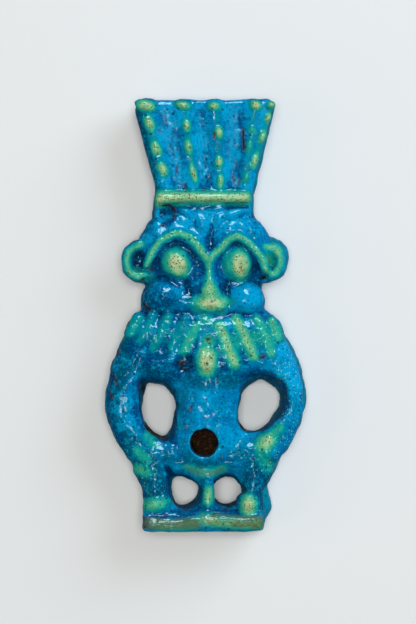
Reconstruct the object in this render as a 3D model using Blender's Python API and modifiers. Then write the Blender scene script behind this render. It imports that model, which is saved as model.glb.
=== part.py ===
"""A moulded faience figure of Bes, lying on its back, as one closed solid.

Sizes are in millimetres and become metres only where Blender takes them.
While the clay is put together, x runs to the viewer's right, y from the
underside of the base (0) to the tips of the plumes, and z from the surface
that the figure lies on (0) up to the viewer. The finished solid is then
moved so that the middle of its box stands over the origin.
"""

import bmesh
import bpy
from mathutils import Matrix, Vector
from mathutils.geometry import interpolate_bezier

MM = 0.001

# Overall sizes.
HEIGHT = 55.0
SEAM_Z = 3.6

# The two moulded halves were pressed together a little out of line.
BACK_SHIFT_X = 0.35
BACK_SHIFT_Y = 0.1
BACK_SWELL = 0.05
BACK_Z = -0.05

# How the clay is fused and softened.
VOXEL = 0.3
GLAZE_PASSES = 5
GLAZE_FACTOR = 0.5
TRIANGLE_SHARE = 0.098

# The plume crown: a fan with one rib to each plume, as (foot x, top x, girth).
CROWN_FOOT_Y = 42.8
CROWN_TOP_Y = 54.75
CROWN_FOOT_X = (-6.2, 5.35)
CROWN_TOP_X = (-8.9, 8.35)
CROWN_FRONT_Z = 6.05
CROWN_BACK_Z = 0.55
RIBS = (
    (-5.1, -7.5, 1.1),
    (-1.6, -2.8, 1.1),
    (1.85, 1.2, 1.1),
    (4.6, 6.1, 1.0),
    (5.2, 7.6, 0.8),
)
RIB_FOOT_RADIUS = 0.8
RIB_TOP_RADIUS = 1.15
RIB_PROUD_Y = 0.3
RIB_CREST_Z = 6.65

# The brow of the head under the headband, as wide as the crown's foot.
NECK_Y = (36.5, 45.0)
NECK_X = (-6.5, 5.75)
NECK_Z = (0.9, 5.6)
BAND_Y = 42.3
BAND_X = (-5.65, 5.05)
BAND_RADIUS = 0.75
BAND_CREST_Z = 7.15

# Limbs, as (x, y, radius) along each one's middle line.
LEFT_ARM = (
    (-7.4, 25.0, 2.6),
    (-8.95, 21.7, 2.75),
    (-9.85, 19.0, 2.6),
    (-10.5, 16.4, 2.4),
    (-10.2, 14.3, 2.4),
    (-9.4, 12.6, 2.35),
    (-8.4, 10.6, 2.2),
)
RIGHT_ARM = (
    (6.6, 25.0, 2.4),
    (8.7, 21.7, 2.6),
    (10.15, 18.8, 2.1),
    (10.75, 16.4, 1.85),
    (10.15, 14.2, 1.85),
    (9.1, 12.4, 2.05),
    (7.8, 10.6, 2.2),
)
LEFT_LEG = (
    (-5.6, 10.0, 2.5),
    (-6.75, 8.8, 2.7),
    (-6.6, 7.2, 2.4),
    (-6.25, 5.4, 1.95),
    (-6.0, 3.2, 1.95),
)
RIGHT_LEG = (
    (5.4, 10.0, 2.5),
    (6.3, 8.8, 2.7),
    (6.15, 7.2, 2.2),
    (5.85, 5.4, 1.55),
    (5.8, 3.2, 1.7),
)
ARM_CREST_Z = 7.0
LEG_CREST_Z = 6.7

# The lion's tail, seen between the legs, and its run up the back.
BACK_TAIL = ((-0.35, 15.5, 0.7), (-0.35, 11.0, 0.8), (-0.3, 7.6, 0.85))
TAIL = ((0.0, 7.6, 1.4), (-0.1, 5.7, 0.9), (-0.05, 4.6, 0.9), (0.0, 2.9, 1.3))
TAIL_CREST_Z = 6.2

# The clay round the gaps beside the trunk and between the legs, as x and y spans.
WEBS = (
    ((-9.0, -3.6), (11.2, 20.0)),
    ((3.6, 9.8), (11.2, 20.2)),
    ((-6.3, 6.2), (1.8, 8.5)),
)
WEB_Z = (1.0, 5.6)

# Each gap's outline, at its throat and where it opens to the front.
LEFT_ARM_GAP = (
    ((-7.7, 17.9), (-6.9, 18.4), (-5.1, 17.7), (-4.1, 15.8), (-5.3, 12.3), (-7.1, 13.0), (-8.1, 14.8)),
    ((-8.5, 19.0), (-7.2, 19.6), (-4.5, 18.9), (-3.5, 16.3), (-4.4, 11.5), (-7.1, 12.5), (-8.3, 14.8)),
)
RIGHT_ARM_GAP = (
    ((5.2, 17.7), (7.0, 18.7), (9.0, 17.5), (8.9, 15.0), (6.4, 12.7), (4.4, 13.7), (4.5, 15.8)),
    ((4.6, 19.1), (6.9, 20.1), (9.8, 18.7), (9.9, 15.7), (6.9, 12.5), (4.1, 13.4), (4.1, 16.2)),
)
LEFT_LEG_GAP = (
    ((-4.1, 6.2), (-2.6, 6.3), (-1.1, 5.4), (-1.8, 3.8), (-3.3, 3.3), (-4.3, 4.4)),
    ((-4.9, 7.6), (-2.6, 7.2), (-0.5, 5.5), (-0.8, 3.4), (-3.0, 2.8), (-4.4, 4.0)),
)
RIGHT_LEG_GAP = (
    ((1.6, 6.0), (2.9, 6.4), (4.5, 5.3), (3.9, 3.8), (2.1, 3.3), (1.0, 4.5)),
    ((1.2, 6.9), (2.9, 7.5), (5.0, 5.7), (4.5, 3.6), (2.1, 2.9), (0.8, 4.7)),
)
GAPS = (LEFT_ARM_GAP, RIGHT_ARM_GAP, LEFT_LEG_GAP, RIGHT_LEG_GAP)
GAP_THROAT_Z = 2.9
GAP_FRONT_Z = 6.3
GAP_END_Z = 9.0
GAP_BACK_FLARE = 1.12
GAP_STEPS = 5

# The trunk, as (x, y, z, radius).
TRUNK = (
    (0.1, 24.5, 3.7, 3.4),
    (0.1, 20.5, 3.7, 3.3),
    (0.3, 17.0, 3.7, 3.35),
    (0.0, 12.4, 3.8, 3.4),
    (-0.1, 9.9, 3.6, 3.1),
)
BELLY = ((-0.2, 12.2, 3.9), (5.2, 5.6, 3.6))
WAIST = ((0.3, 15.8, 3.7), (5.0, 6.5, 3.4))
CHEST = ((0.3, 20.2, 3.7), (6.4, 4.2, 3.25))
GROIN = ((-4.6, 9.6, 3.6, 3.0), (4.5, 9.6, 3.6, 3.0))
SHOULDERS = ((-8.0, 21.8, 3.6, 3.1), (0.0, 21.9, 3.7, 3.4), (8.2, 21.8, 3.6, 3.0))
BIB = ((0.2, 23.2, 3.6), (10.0, 5.2, 3.4))
BACK = ((0.3, 21.6, 3.3), (9.4, 4.0, 3.1))
BUTTOCKS = (((-2.9, 9.8, 2.5), (2.7, 3.0, 2.4)), ((3.4, 9.8, 2.5), (2.7, 3.0, 2.4)))

# The mane from the jaw down to the shoulders, as (x, y, z, radius).
MANE = (
    (-7.4, 24.9, 3.6, 3.1),
    (-4.0, 25.4, 3.6, 3.5),
    (0.0, 25.0, 3.6, 3.75),
    (4.0, 25.4, 3.6, 3.5),
    (7.0, 24.9, 3.6, 3.0),
)
CHIN = ((0.1, 24.2, 4.4), (4.6, 3.6, 2.9))
LOCK_CREST_Z = 7.4
LOCK_FALL = 0.8
LOCK_REACH = 10.0
LOCK_RADIUS = 0.8
LOCKS = (
    ((-8.5, 26.9), (-9.3, 25.8)),
    ((-6.9, 26.9), (-8.1, 24.3)),
    ((-5.2, 26.4), (-6.2, 24.0)),
    ((-3.3, 26.0), (-4.1, 24.0)),
    ((-1.7, 24.9), (-2.5, 23.0)),
    ((2.1, 25.0), (3.5, 21.3)),
    ((4.3, 25.6), (6.1, 22.1)),
    ((6.6, 25.0), (7.8, 23.2)),
    ((8.5, 26.7), (9.3, 24.1)),
)
CHIN_LOCK = ((0.2, 21.6, 6.9), (1.05, 1.75, 1.2))

# The head.
SKULL = ((-0.25, 33.2, 3.5), (7.7, 6.4, 3.2))
FOREHEAD = ((-0.4, 39.6, 3.0), (6.6, 8.2, 3.6))
HEAD_BACK = ((0.1, 35.2, 3.2), (7.6, 8.4, 3.2))
JAW = ((-5.4, 29.2, 3.7, 2.9), (4.6, 29.2, 3.7, 2.9))
MUZZLE = ((0.4, 29.0, 4.6), (3.6, 2.6, 2.6))
CHEEKS = (((-5.1, 29.75, 5.6), (2.6, 1.75, 1.6)), ((5.05, 29.4, 5.6), (2.5, 2.0, 1.6)))
EYES = (((-3.6, 34.05, 5.9), (1.85, 1.95, 1.6)), ((3.6, 33.9, 5.9), (1.8, 2.05, 1.6)))
BROW_RADIUS = 0.6
BROW_CREST_Z = 7.4
BROW_PAD_LIFT = 1.1
BROW_PAD_RADIUS = 2.0
BROW_PAD_CREST_Z = 6.75
LEFT_BROW = (
    (-7.5, 33.9),
    (-6.9, 35.2),
    (-6.0, 36.5),
    (-4.8, 37.5),
    (-3.5, 37.9),
    (-2.2, 37.6),
    (-1.2, 36.8),
    (-0.5, 35.8),
    (0.35, 34.8),
)
RIGHT_BROW = (
    (7.5, 33.6),
    (7.1, 34.6),
    (6.1, 36.2),
    (5.0, 37.1),
    (3.8, 37.5),
    (2.7, 37.0),
    (1.8, 36.0),
    (1.0, 35.2),
    (0.55, 34.6),
)
NOSE = (
    (0.45, 34.6, 6.9, 0.5),
    (0.45, 32.4, 6.9, 0.5),
    (0.5, 30.6, 6.8, 1.0),
    (0.55, 29.2, 6.5, 1.5),
)
NOSTRILS = (((-0.65, 28.7, 6.5), (0.95, 0.75, 1.2)), ((1.75, 28.7, 6.5), (0.95, 0.75, 1.2)))

# Each ear: middle (x, y), the two radii seen from the front, then its rim.
EARS = (((-8.3, 34.3), (2.45, 2.85)), ((7.75, 34.5), (2.5, 2.9)))
EAR_FRONT_Z = 5.4
RIM_CREST_Z = 6.45
RIM_RADIUS = 0.5
LEFT_RIM = ((-7.8, 36.4), (-9.1, 36.2), (-10.0, 35.2), (-10.1, 33.9), (-9.4, 32.6), (-8.0, 32.1))
RIGHT_RIM = ((7.3, 36.4), (8.7, 36.3), (9.5, 35.2), (9.5, 33.9), (8.9, 32.7), (7.9, 32.6))

# The base that the figure stands on, and its feet.
BASE_X = (-8.0, 7.4)
BASE_BACK_X = (-7.75, 7.6)
BASE_TOP_Y = 2.6
BASE_TRIM = 0.04
BASE_FRONT_Z = 7.0
HEEL = ((-6.5, 2.2, 1.9, 1.3), (7.0, 2.4, 1.9, 1.35))
HEEL_BULGE = ((6.7, 3.1, 1.8), (1.8, 2.1, 1.8))
LIP_Y = 1.1
LIP_RADIUS = 1.0
LIP_CREST_Z = 7.6
FEET = (((-6.2, 3.4, 5.2), (1.8, 1.3, 2.1)), ((5.5, 3.5, 5.2), (1.6, 1.45, 2.1)))

# The navel, a round blind hole.
NAVEL_XY = (-0.25, 11.3)
NAVEL_RADIUS = 1.7
NAVEL_FLARE = 1.5
NAVEL_FLOOR_Z = 3.0

GLAZE_BLUE = (0.0, 0.19, 0.42, 1.0)


def add_ball(clay, centre, radii):
    """Adds a ball stretched to three radii to the clay."""
    place = Matrix.Translation(Vector(centre) * MM)
    stretch = Matrix.Diagonal((*[r * MM for r in radii], 1.0))
    bmesh.ops.create_icosphere(clay, subdivisions=4, radius=1.0, matrix=place @ stretch)


def add_tube(clay, path):
    """Adds a round tube through (x, y, z, radius) points, with ball ends."""
    curve = bpy.data.curves.new("tube", "CURVE")
    curve.dimensions = "3D"
    curve.bevel_depth = MM
    curve.bevel_resolution = 4
    curve.resolution_u = 6
    curve.use_fill_caps = True
    spline = curve.splines.new("BEZIER")
    spline.radius_interpolation = "CARDINAL"
    spline.bezier_points.add(len(path) - 1)
    for point, (x, y, z, radius) in zip(spline.bezier_points, path):
        point.co = Vector((x, y, z)) * MM
        point.radius = radius
        point.handle_left_type = point.handle_right_type = "AUTO"
    holder = bpy.data.objects.new("tube", curve)
    bpy.context.scene.collection.objects.link(holder)
    graph = bpy.context.evaluated_depsgraph_get()
    mesh = bpy.data.meshes.new_from_object(holder.evaluated_get(graph))
    clay.from_mesh(mesh)
    bpy.data.objects.remove(holder)
    bpy.data.curves.remove(curve)
    bpy.data.meshes.remove(mesh)
    for x, y, z, radius in (path[0], path[-1]):
        add_ball(clay, (x, y, z), (radius, radius, radius))


def add_block(clay, foot_x, top_x, span_y, span_z):
    """Adds a block whose left and right sides may lean, from its foot to its top."""
    for vertex in bmesh.ops.create_cube(clay, size=1.0)["verts"]:
        side = int(vertex.co.x > 0)
        high = vertex.co.y > 0
        x = (top_x if high else foot_x)[side]
        vertex.co = Vector((x, span_y[int(high)], span_z[int(vertex.co.z > 0)])) * MM


def add_halves(clay, foot_x, top_x, span_y, span_z):
    """Adds a block as two moulded halves, the back one a little out of line."""
    add_block(clay, foot_x, top_x, span_y, (SEAM_Z - 1.0, span_z[1]))
    add_block(
        clay,
        [x + BACK_SHIFT_X for x in foot_x],
        [x + BACK_SHIFT_X for x in top_x],
        [y + BACK_SHIFT_Y for y in span_y],
        (span_z[0], SEAM_Z),
    )


def crested(path, crest_z):
    """The (x, y, z, radius) points of a tube whose top stays level at crest_z."""
    return [(x, y, crest_z - radius, radius) for x, y, radius in path]


def hollowed(path, back_z):
    """The points of the same limb on the back half, lying at back_z."""
    return [
        (x + BACK_SHIFT_X, y + BACK_SHIFT_Y, back_z + radius + BACK_SWELL, radius + BACK_SWELL)
        for x, y, radius in path
    ]


def add_crown(clay):
    """The fan of plumes: a thin leaning block with a rib on each plume."""
    crown_y = (CROWN_FOOT_Y, CROWN_TOP_Y)
    add_halves(clay, CROWN_FOOT_X, CROWN_TOP_X, crown_y, (CROWN_BACK_Z, CROWN_FRONT_Z))
    add_halves(clay, NECK_X, NECK_X, NECK_Y, NECK_Z)
    for foot_x, top_x, girth in RIBS:
        top_radius = RIB_TOP_RADIUS * girth
        path = (
            (foot_x, BAND_Y + BAND_RADIUS, RIB_FOOT_RADIUS * girth),
            (top_x, CROWN_TOP_Y + RIB_PROUD_Y - top_radius, top_radius),
        )
        add_tube(clay, crested(path, RIB_CREST_Z))
        add_tube(clay, hollowed(path, BACK_Z))
    band = [(x, BAND_Y, BAND_RADIUS) for x in BAND_X]
    add_tube(clay, crested(band, BAND_CREST_Z))
    add_tube(clay, hollowed(band, BACK_Z))


def add_ear(clay, centre, radii, rim):
    """One round ear on both halves, with a raised rim round its hollow."""
    x, y = centre
    deep = EAR_FRONT_Z - SEAM_Z
    add_ball(clay, (x, y, SEAM_Z), (*radii, deep))
    add_ball(clay, (x + BACK_SHIFT_X, y + BACK_SHIFT_Y, SEAM_Z - deep / 2), (*radii, deep))
    add_tube(clay, crested([(*point, RIM_RADIUS) for point in rim], RIM_CREST_Z))


def add_head(clay):
    """The lion-like face, its brows, and the round ears."""
    add_tube(clay, JAW)
    for centre, radii in (SKULL, FOREHEAD, HEAD_BACK, MUZZLE, *CHEEKS, *EYES, *NOSTRILS):
        add_ball(clay, centre, radii)
    for brow in (LEFT_BROW, RIGHT_BROW):
        add_tube(clay, crested([(x, y, BROW_RADIUS) for x, y in brow], BROW_CREST_Z))
        pad = [(x, y + BROW_PAD_LIFT, BROW_PAD_RADIUS) for x, y in brow[1:-2]]
        add_tube(clay, crested(pad, BROW_PAD_CREST_Z))
    add_tube(clay, NOSE)
    for (centre, radii), rim in zip(EARS, (LEFT_RIM, RIGHT_RIM)):
        add_ear(clay, centre, radii, rim)


def add_mane(clay):
    """The mane that hangs from the jaw over the shoulders, with its locks."""
    add_tube(clay, MANE)
    add_ball(clay, *CHIN)
    for top, tip in LOCKS:
        crest = LOCK_CREST_Z - LOCK_FALL * (top[0] / LOCK_REACH) ** 2
        path = [(*top, LOCK_RADIUS), (*tip, LOCK_RADIUS * 0.8)]
        add_tube(clay, crested(path, crest))
    add_ball(clay, *CHIN_LOCK)


def add_limbs(clay):
    """Arms bowed down to the thighs, short bent legs, and the tail between them."""
    limbs = (
        (LEFT_ARM, ARM_CREST_Z),
        (RIGHT_ARM, ARM_CREST_Z),
        (LEFT_LEG, LEG_CREST_Z),
        (RIGHT_LEG, LEG_CREST_Z),
        (TAIL, TAIL_CREST_Z),
    )
    for limb, crest_z in limbs:
        add_tube(clay, crested(limb, crest_z))
        add_tube(clay, hollowed(limb, BACK_Z))
    add_tube(clay, hollowed(BACK_TAIL, BACK_Z))
    for span_x, span_y in WEBS:
        add_block(clay, span_x, span_x, span_y, WEB_Z)


def add_trunk(clay):
    """The trunk with its round belly and low chest."""
    for path in (TRUNK, SHOULDERS, GROIN):
        add_tube(clay, path)
    for centre, radii in (BELLY, WAIST, CHEST, BIB, BACK, *BUTTOCKS):
        add_ball(clay, centre, radii)


def add_base(clay):
    """The base with its raised front lip, and the feet on it."""
    base_y = (0.0, BASE_TOP_Y)
    add_block(clay, BASE_X, BASE_X, base_y, (SEAM_Z - 1.0, BASE_FRONT_Z))
    add_block(clay, BASE_BACK_X, BASE_BACK_X, base_y, (BACK_Z, SEAM_Z))
    lip = [(x, LIP_Y, LIP_RADIUS) for x in (BASE_X[0] + LIP_RADIUS, BASE_X[1] - LIP_RADIUS)]
    add_tube(clay, crested(lip, LIP_CREST_Z))
    add_tube(clay, HEEL)
    for centre, radii in (HEEL_BULGE, *FEET):
        add_ball(clay, centre, radii)


def new_object(name, clay, collection):
    """Puts what was gathered in a bmesh into an object of its own."""
    mesh = bpy.data.meshes.new(name)
    clay.to_mesh(mesh)
    clay.free()
    made = bpy.data.objects.new(name, mesh)
    collection.objects.link(made)
    return made


def closed_curve(points):
    """Points along a smooth closed curve through the given (x, y) ones."""
    ring = []
    for i, here in enumerate(points):
        before, here, after, beyond = (Vector(points[(i + j) % len(points)]) for j in (-1, 0, 1, 2))
        leave = here + (after - before) / 6
        arrive = after - (beyond - here) / 6
        ring += interpolate_bezier(here, leave, arrive, after, GAP_STEPS + 1)[:-1]
    return ring


def add_gap_plug(shape, throat, front):
    """A plug as wide as the gap at its throat, opening out to the front and a little to the back."""
    middle = sum((Vector(point) for point in throat), Vector((0.0, 0.0))) / len(throat)
    back = [middle + (Vector(point) - middle) * GAP_BACK_FLARE for point in throat]
    reach = (GAP_END_Z - GAP_THROAT_Z) / (GAP_FRONT_Z - GAP_THROAT_Z)
    mouth = [Vector(a) + (Vector(b) - Vector(a)) * reach for a, b in zip(throat, front)]
    levels = ((back, -1.0), (throat, GAP_THROAT_Z), (mouth, GAP_END_Z))
    rings = []
    for path, z in levels:
        rings.append([shape.verts.new((*point * MM, z * MM)) for point in closed_curve(path)])
    for low, high in zip(rings, rings[1:]):
        for i in range(len(low)):
            j = (i + 1) % len(low)
            shape.faces.new((low[i], low[j], high[j], high[i]))
    shape.faces.new(rings[0])
    shape.faces.new(rings[-1])


def make_cutters(collection):
    """The gap plugs, the navel drill, and the boards that the back and underside lay flat on."""
    plugs = bmesh.new()
    for throat, front in GAPS:
        add_gap_plug(plugs, throat, front)
    bmesh.ops.recalc_face_normals(plugs, faces=plugs.faces)
    drill = bmesh.new()
    place = Matrix.Translation(Vector((*NAVEL_XY, NAVEL_FLOOR_Z + HEIGHT / 2)) * MM)
    bmesh.ops.create_cone(
        drill,
        cap_ends=True,
        segments=28,
        radius1=NAVEL_RADIUS * MM,
        radius2=NAVEL_RADIUS * NAVEL_FLARE * MM,
        depth=HEIGHT * MM,
        matrix=place,
    )
    reach = 2 * HEIGHT
    wide = (-reach, reach)
    back_board = bmesh.new()
    add_block(back_board, wide, wide, wide, (-reach, 0.0))
    base_board = bmesh.new()
    add_block(base_board, wide, wide, (-reach, BASE_TRIM), wide)
    cutters = [
        new_object("gap_plugs", plugs, collection),
        new_object("navel_drill", drill, collection),
        new_object("back_board", back_board, collection),
        new_object("base_board", base_board, collection),
    ]
    for cutter in cutters:
        cutter.hide_render = True
        cutter.display_type = "WIRE"
    return cutters


def glaze_material():
    """The blue faience glaze."""
    material = bpy.data.materials.new("blue_faience")
    material.use_nodes = True
    shader = material.node_tree.nodes["Principled BSDF"]
    shader.inputs["Base Color"].default_value = GLAZE_BLUE
    shader.inputs["Roughness"].default_value = 0.28
    shader.inputs["Metallic"].default_value = 0.0
    return material


def cut_with(figure, cutter):
    """Adds an exact cut to the figure."""
    cut = figure.modifiers.new(cutter.name, "BOOLEAN")
    cut.operation = "DIFFERENCE"
    cut.solver = "EXACT"
    cut.object = cutter


def fuse_evenly(figure, name):
    """Adds a step that fuses all that overlaps into one closed skin of even faces."""
    remesh = figure.modifiers.new(name, "REMESH")
    remesh.mode = "VOXEL"
    remesh.voxel_size = VOXEL * MM
    remesh.use_smooth_shade = True


def fuse(figure, plugs, drill, *boards):
    """Fuses the clay into one solid, opens it, softens it as the glaze does, and flattens it."""
    fuse_evenly(figure, "fuse")
    for opener in (plugs, drill):
        cut_with(figure, opener)
    fuse_evenly(figure, "settle")
    glaze = figure.modifiers.new("glaze", "SMOOTH")
    glaze.factor = GLAZE_FACTOR
    glaze.iterations = GLAZE_PASSES
    thin = figure.modifiers.new("thin", "DECIMATE")
    thin.ratio = TRIANGLE_SHARE
    for board in boards:
        cut_with(figure, board)


def centre_over_origin(figure, cutters):
    """Moves the figure and its cutters so that its box stands over the origin."""
    graph = bpy.context.evaluated_depsgraph_get()
    corners = [Vector(corner) for corner in figure.evaluated_get(graph).bound_box]
    low = Vector([min(corner[axis] for corner in corners) for axis in range(3)])
    high = Vector([max(corner[axis] for corner in corners) for axis in range(3)])
    middle = (low + high) / 2
    for moved in (figure, *cutters):
        moved.location = (-middle.x, -middle.y, 0.0)


def main():
    """Builds the figure."""
    for old in list(bpy.data.objects):
        bpy.data.objects.remove(old)
    figures = bpy.data.collections.new("bes_figure")
    helpers = bpy.data.collections.new("cutters")
    for collection in (figures, helpers):
        bpy.context.scene.collection.children.link(collection)
    clay = bmesh.new()
    for add_part in (add_crown, add_head, add_mane, add_trunk, add_limbs, add_base):
        add_part(clay)
    figure = new_object("bes_figure", clay, figures)
    figure.data.materials.append(glaze_material())
    cutters = make_cutters(helpers)
    fuse(figure, *cutters)
    centre_over_origin(figure, cutters)


main()
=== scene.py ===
"""The looks of a moulded blue-glazed figure of Bes, lying on its back.

The clay is laid down in millimetres in the maker's frame: x to the viewer's
right, y from the underside of the base to the plume tips, z up from the
surface it lies on. It is fused, drilled, smoothed and marked, then moved to
the frame's origin in metres and dressed in its glaze.
"""

from __future__ import annotations

import logging
import math
from dataclasses import dataclass, field, fields
from enum import Enum

import bmesh
import bpy
import numpy as np
from mathutils import Matrix, Vector

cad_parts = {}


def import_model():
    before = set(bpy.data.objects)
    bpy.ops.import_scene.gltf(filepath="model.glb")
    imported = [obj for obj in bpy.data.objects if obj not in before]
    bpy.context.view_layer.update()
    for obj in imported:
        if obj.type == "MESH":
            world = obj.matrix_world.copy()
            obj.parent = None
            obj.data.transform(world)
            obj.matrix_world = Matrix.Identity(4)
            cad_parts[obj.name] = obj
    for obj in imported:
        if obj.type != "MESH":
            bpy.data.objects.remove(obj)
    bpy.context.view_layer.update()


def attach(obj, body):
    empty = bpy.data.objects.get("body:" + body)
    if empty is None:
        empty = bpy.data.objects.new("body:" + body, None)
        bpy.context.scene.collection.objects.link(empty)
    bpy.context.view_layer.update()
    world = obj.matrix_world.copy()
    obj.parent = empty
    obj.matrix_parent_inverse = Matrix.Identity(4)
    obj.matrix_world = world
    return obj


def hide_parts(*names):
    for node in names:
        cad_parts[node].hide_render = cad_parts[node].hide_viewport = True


LOG = logging.getLogger("bes_figure")
MM = 0.001
# The frame's origin in the maker's x and y, in millimetres.
MAKERS_ORIGIN = (0.063, 27.575)
# The stored relief of a point that stands neither out of its surroundings nor into them.
LEVEL_RELIEF = 0.5

Spot = tuple[float, float]
Place = tuple[float, float, float]
# A station is x, y and radius, a coil is a path of x, y, z and radius, a ball is centre and radii.
Station = tuple[float, float, float]
Coil = tuple[tuple[float, float, float, float], ...]
Ball = tuple[Place, Place]
# A pebble is x, y, its two radii and its turn in degrees.
Pebble = tuple[float, float, float, float, float]
Colour = tuple[float, float, float, float]
Socket = bpy.types.NodeSocket
Feeds = dict[str | int, object]


class Half(Enum):
    """The two halves that the figure was pressed in."""

    FRONT = "front"
    BACK = "back"


@dataclass(frozen=True)
class Mould:
    """How the two pressed halves sit on each other."""

    seam_z: float = 3.6
    overlap: float = 1.0
    shift: Spot = (0.35, 0.1)
    swell: float = 0.05
    rest_z: float = -0.05

    def roll(self, path: tuple[Station, ...], half: Half, crest_z: float = 7.0) -> Coil:
        """Places a roll of clay in one half.

        Args:
            path: The x, y and radius along the roll.
            half: The half that it belongs to.
            crest_z: The height of the roll's top, for the front half.

        Returns:
            The roll as x, y, z and radius.
        """
        if half is Half.FRONT:
            return tuple((x, y, crest_z - r, r) for x, y, r in path)
        dx, dy = self.shift
        r_add = self.swell
        return tuple((x + dx, y + dy, self.rest_z + r + r_add, r + r_add) for x, y, r in path)


MOULD = Mould()


def eased(points: tuple[tuple[float, ...], ...], steps: int = 6) -> np.ndarray:
    """Runs a smooth curve through points.

    Args:
        points: The points to pass through, of any width.
        steps: The pieces between two points.

    Returns:
        The points of the curve, one a row.
    """
    p = np.array(points, dtype=float)
    p = np.vstack([2 * p[0] - p[1], p, 2 * p[-1] - p[-2]])
    rows = []
    for a, b, c, d in zip(p[:-3], p[1:-2], p[2:-1], p[3:]):
        square = 2 * a - 5 * b + 4 * c - d
        cube = 3 * b - a - 3 * c + d
        for t in np.linspace(0.0, 1.0, steps, endpoint=False):
            rows.append(0.5 * (2 * b + (c - a) * t + square * t**2 + cube * t**3))
    rows.append(p[-2])
    return np.array(rows)


def eased_loop(points: np.ndarray, steps: int) -> np.ndarray:
    """Runs a smooth closed curve through points.

    Args:
        points: The points to pass through, one a row.
        steps: The pieces between two points.

    Returns:
        The points of the loop, one a row.
    """
    ring = np.vstack([points[-2:], points, points[:3]])
    return eased(tuple(map(tuple, ring)), steps)[2 * steps : (2 + len(points)) * steps]


def soft_step(x: np.ndarray, low: float, high: float) -> np.ndarray:
    """Goes smoothly from 0 to 1.

    Args:
        x: The values.
        low: Where it leaves 0.
        high: Where it reaches 1.

    Returns:
        The step at each value.
    """
    t = np.clip((x - low) / (high - low), 0.0, 1.0)
    return t * t * (3.0 - 2.0 * t)


def put_out(name: str, data: bpy.types.ID) -> bpy.types.Object:
    """Makes an object and links it to the scene.

    Args:
        name: The object's name.
        data: Its mesh, light or camera.

    Returns:
        The object.
    """
    made = bpy.data.objects.new(name, data)
    bpy.context.scene.collection.objects.link(made)
    return made


def poured(name: str, shape: bmesh.types.BMesh) -> bpy.types.Object:
    """Turns a finished shape into an object.

    Args:
        name: The object's name.
        shape: The shape, which is used up.

    Returns:
        The object.
    """
    mesh = bpy.data.meshes.new(name)
    shape.to_mesh(mesh)
    shape.free()
    return put_out(name, mesh)


def settled(holder: bpy.types.Object) -> bpy.types.Mesh:
    """Turns an object and its modifiers into a plain mesh.

    Args:
        holder: The object, which is used up.

    Returns:
        The mesh.
    """
    graph = bpy.context.evaluated_depsgraph_get()
    made = bpy.data.meshes.new_from_object(holder.evaluated_get(graph))
    bpy.data.objects.remove(holder)
    return made


class Tree:
    """A small helper for building a node tree."""

    def __init__(self, tree: bpy.types.NodeTree) -> None:
        """Keeps the tree that nodes are added to."""
        self.tree = tree

    def node(self, kind: str, feeds: Feeds | None = None, **settings: object) -> bpy.types.Node:
        """Adds a node.

        Args:
            kind: Blender's name for the node type.
            feeds: What each input takes, by the input's name or number.
            settings: Node properties by name.

        Returns:
            The new node.
        """
        made = self.tree.nodes.new(kind)
        for name, value in settings.items():
            setattr(made, name, value)
        for name, value in (feeds or {}).items():
            self.feed(made, name, value)
        return made

    def out(self, kind: str, feeds: Feeds | None = None, **settings: object) -> Socket:
        """Adds a node and gives its first output."""
        return self.node(kind, feeds, **settings).outputs[0]

    def feed(self, node: bpy.types.Node, name: str | int, value: object) -> None:
        """Links an output to an input, or sets the input's own value.

        Args:
            node: The node that has the input.
            name: The input's name or number.
            value: An output socket, or a plain value.
        """
        socket = node.inputs[name]
        if isinstance(value, Socket):
            self.tree.links.new(value, socket)
        else:
            socket.default_value = value

    def math(self, kind: str, a: object, b: object, clamp: bool = False) -> Socket:
        """Adds a Math node and gives its output."""
        return self.out("ShaderNodeMath", {0: a, 1: b}, operation=kind, use_clamp=clamp)

    def add(self, a: object, b: object) -> Socket:
        """Gives a plus b."""
        return self.math("ADD", a, b)

    def less(self, a: object, b: object) -> Socket:
        """Gives a less b."""
        return self.math("SUBTRACT", a, b)

    def times(self, a: object, b: object) -> Socket:
        """Gives a times b."""
        return self.math("MULTIPLY", a, b)

    def most(self, a: object, b: object) -> Socket:
        """Gives the larger of a and b."""
        return self.math("MAXIMUM", a, b)


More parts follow.
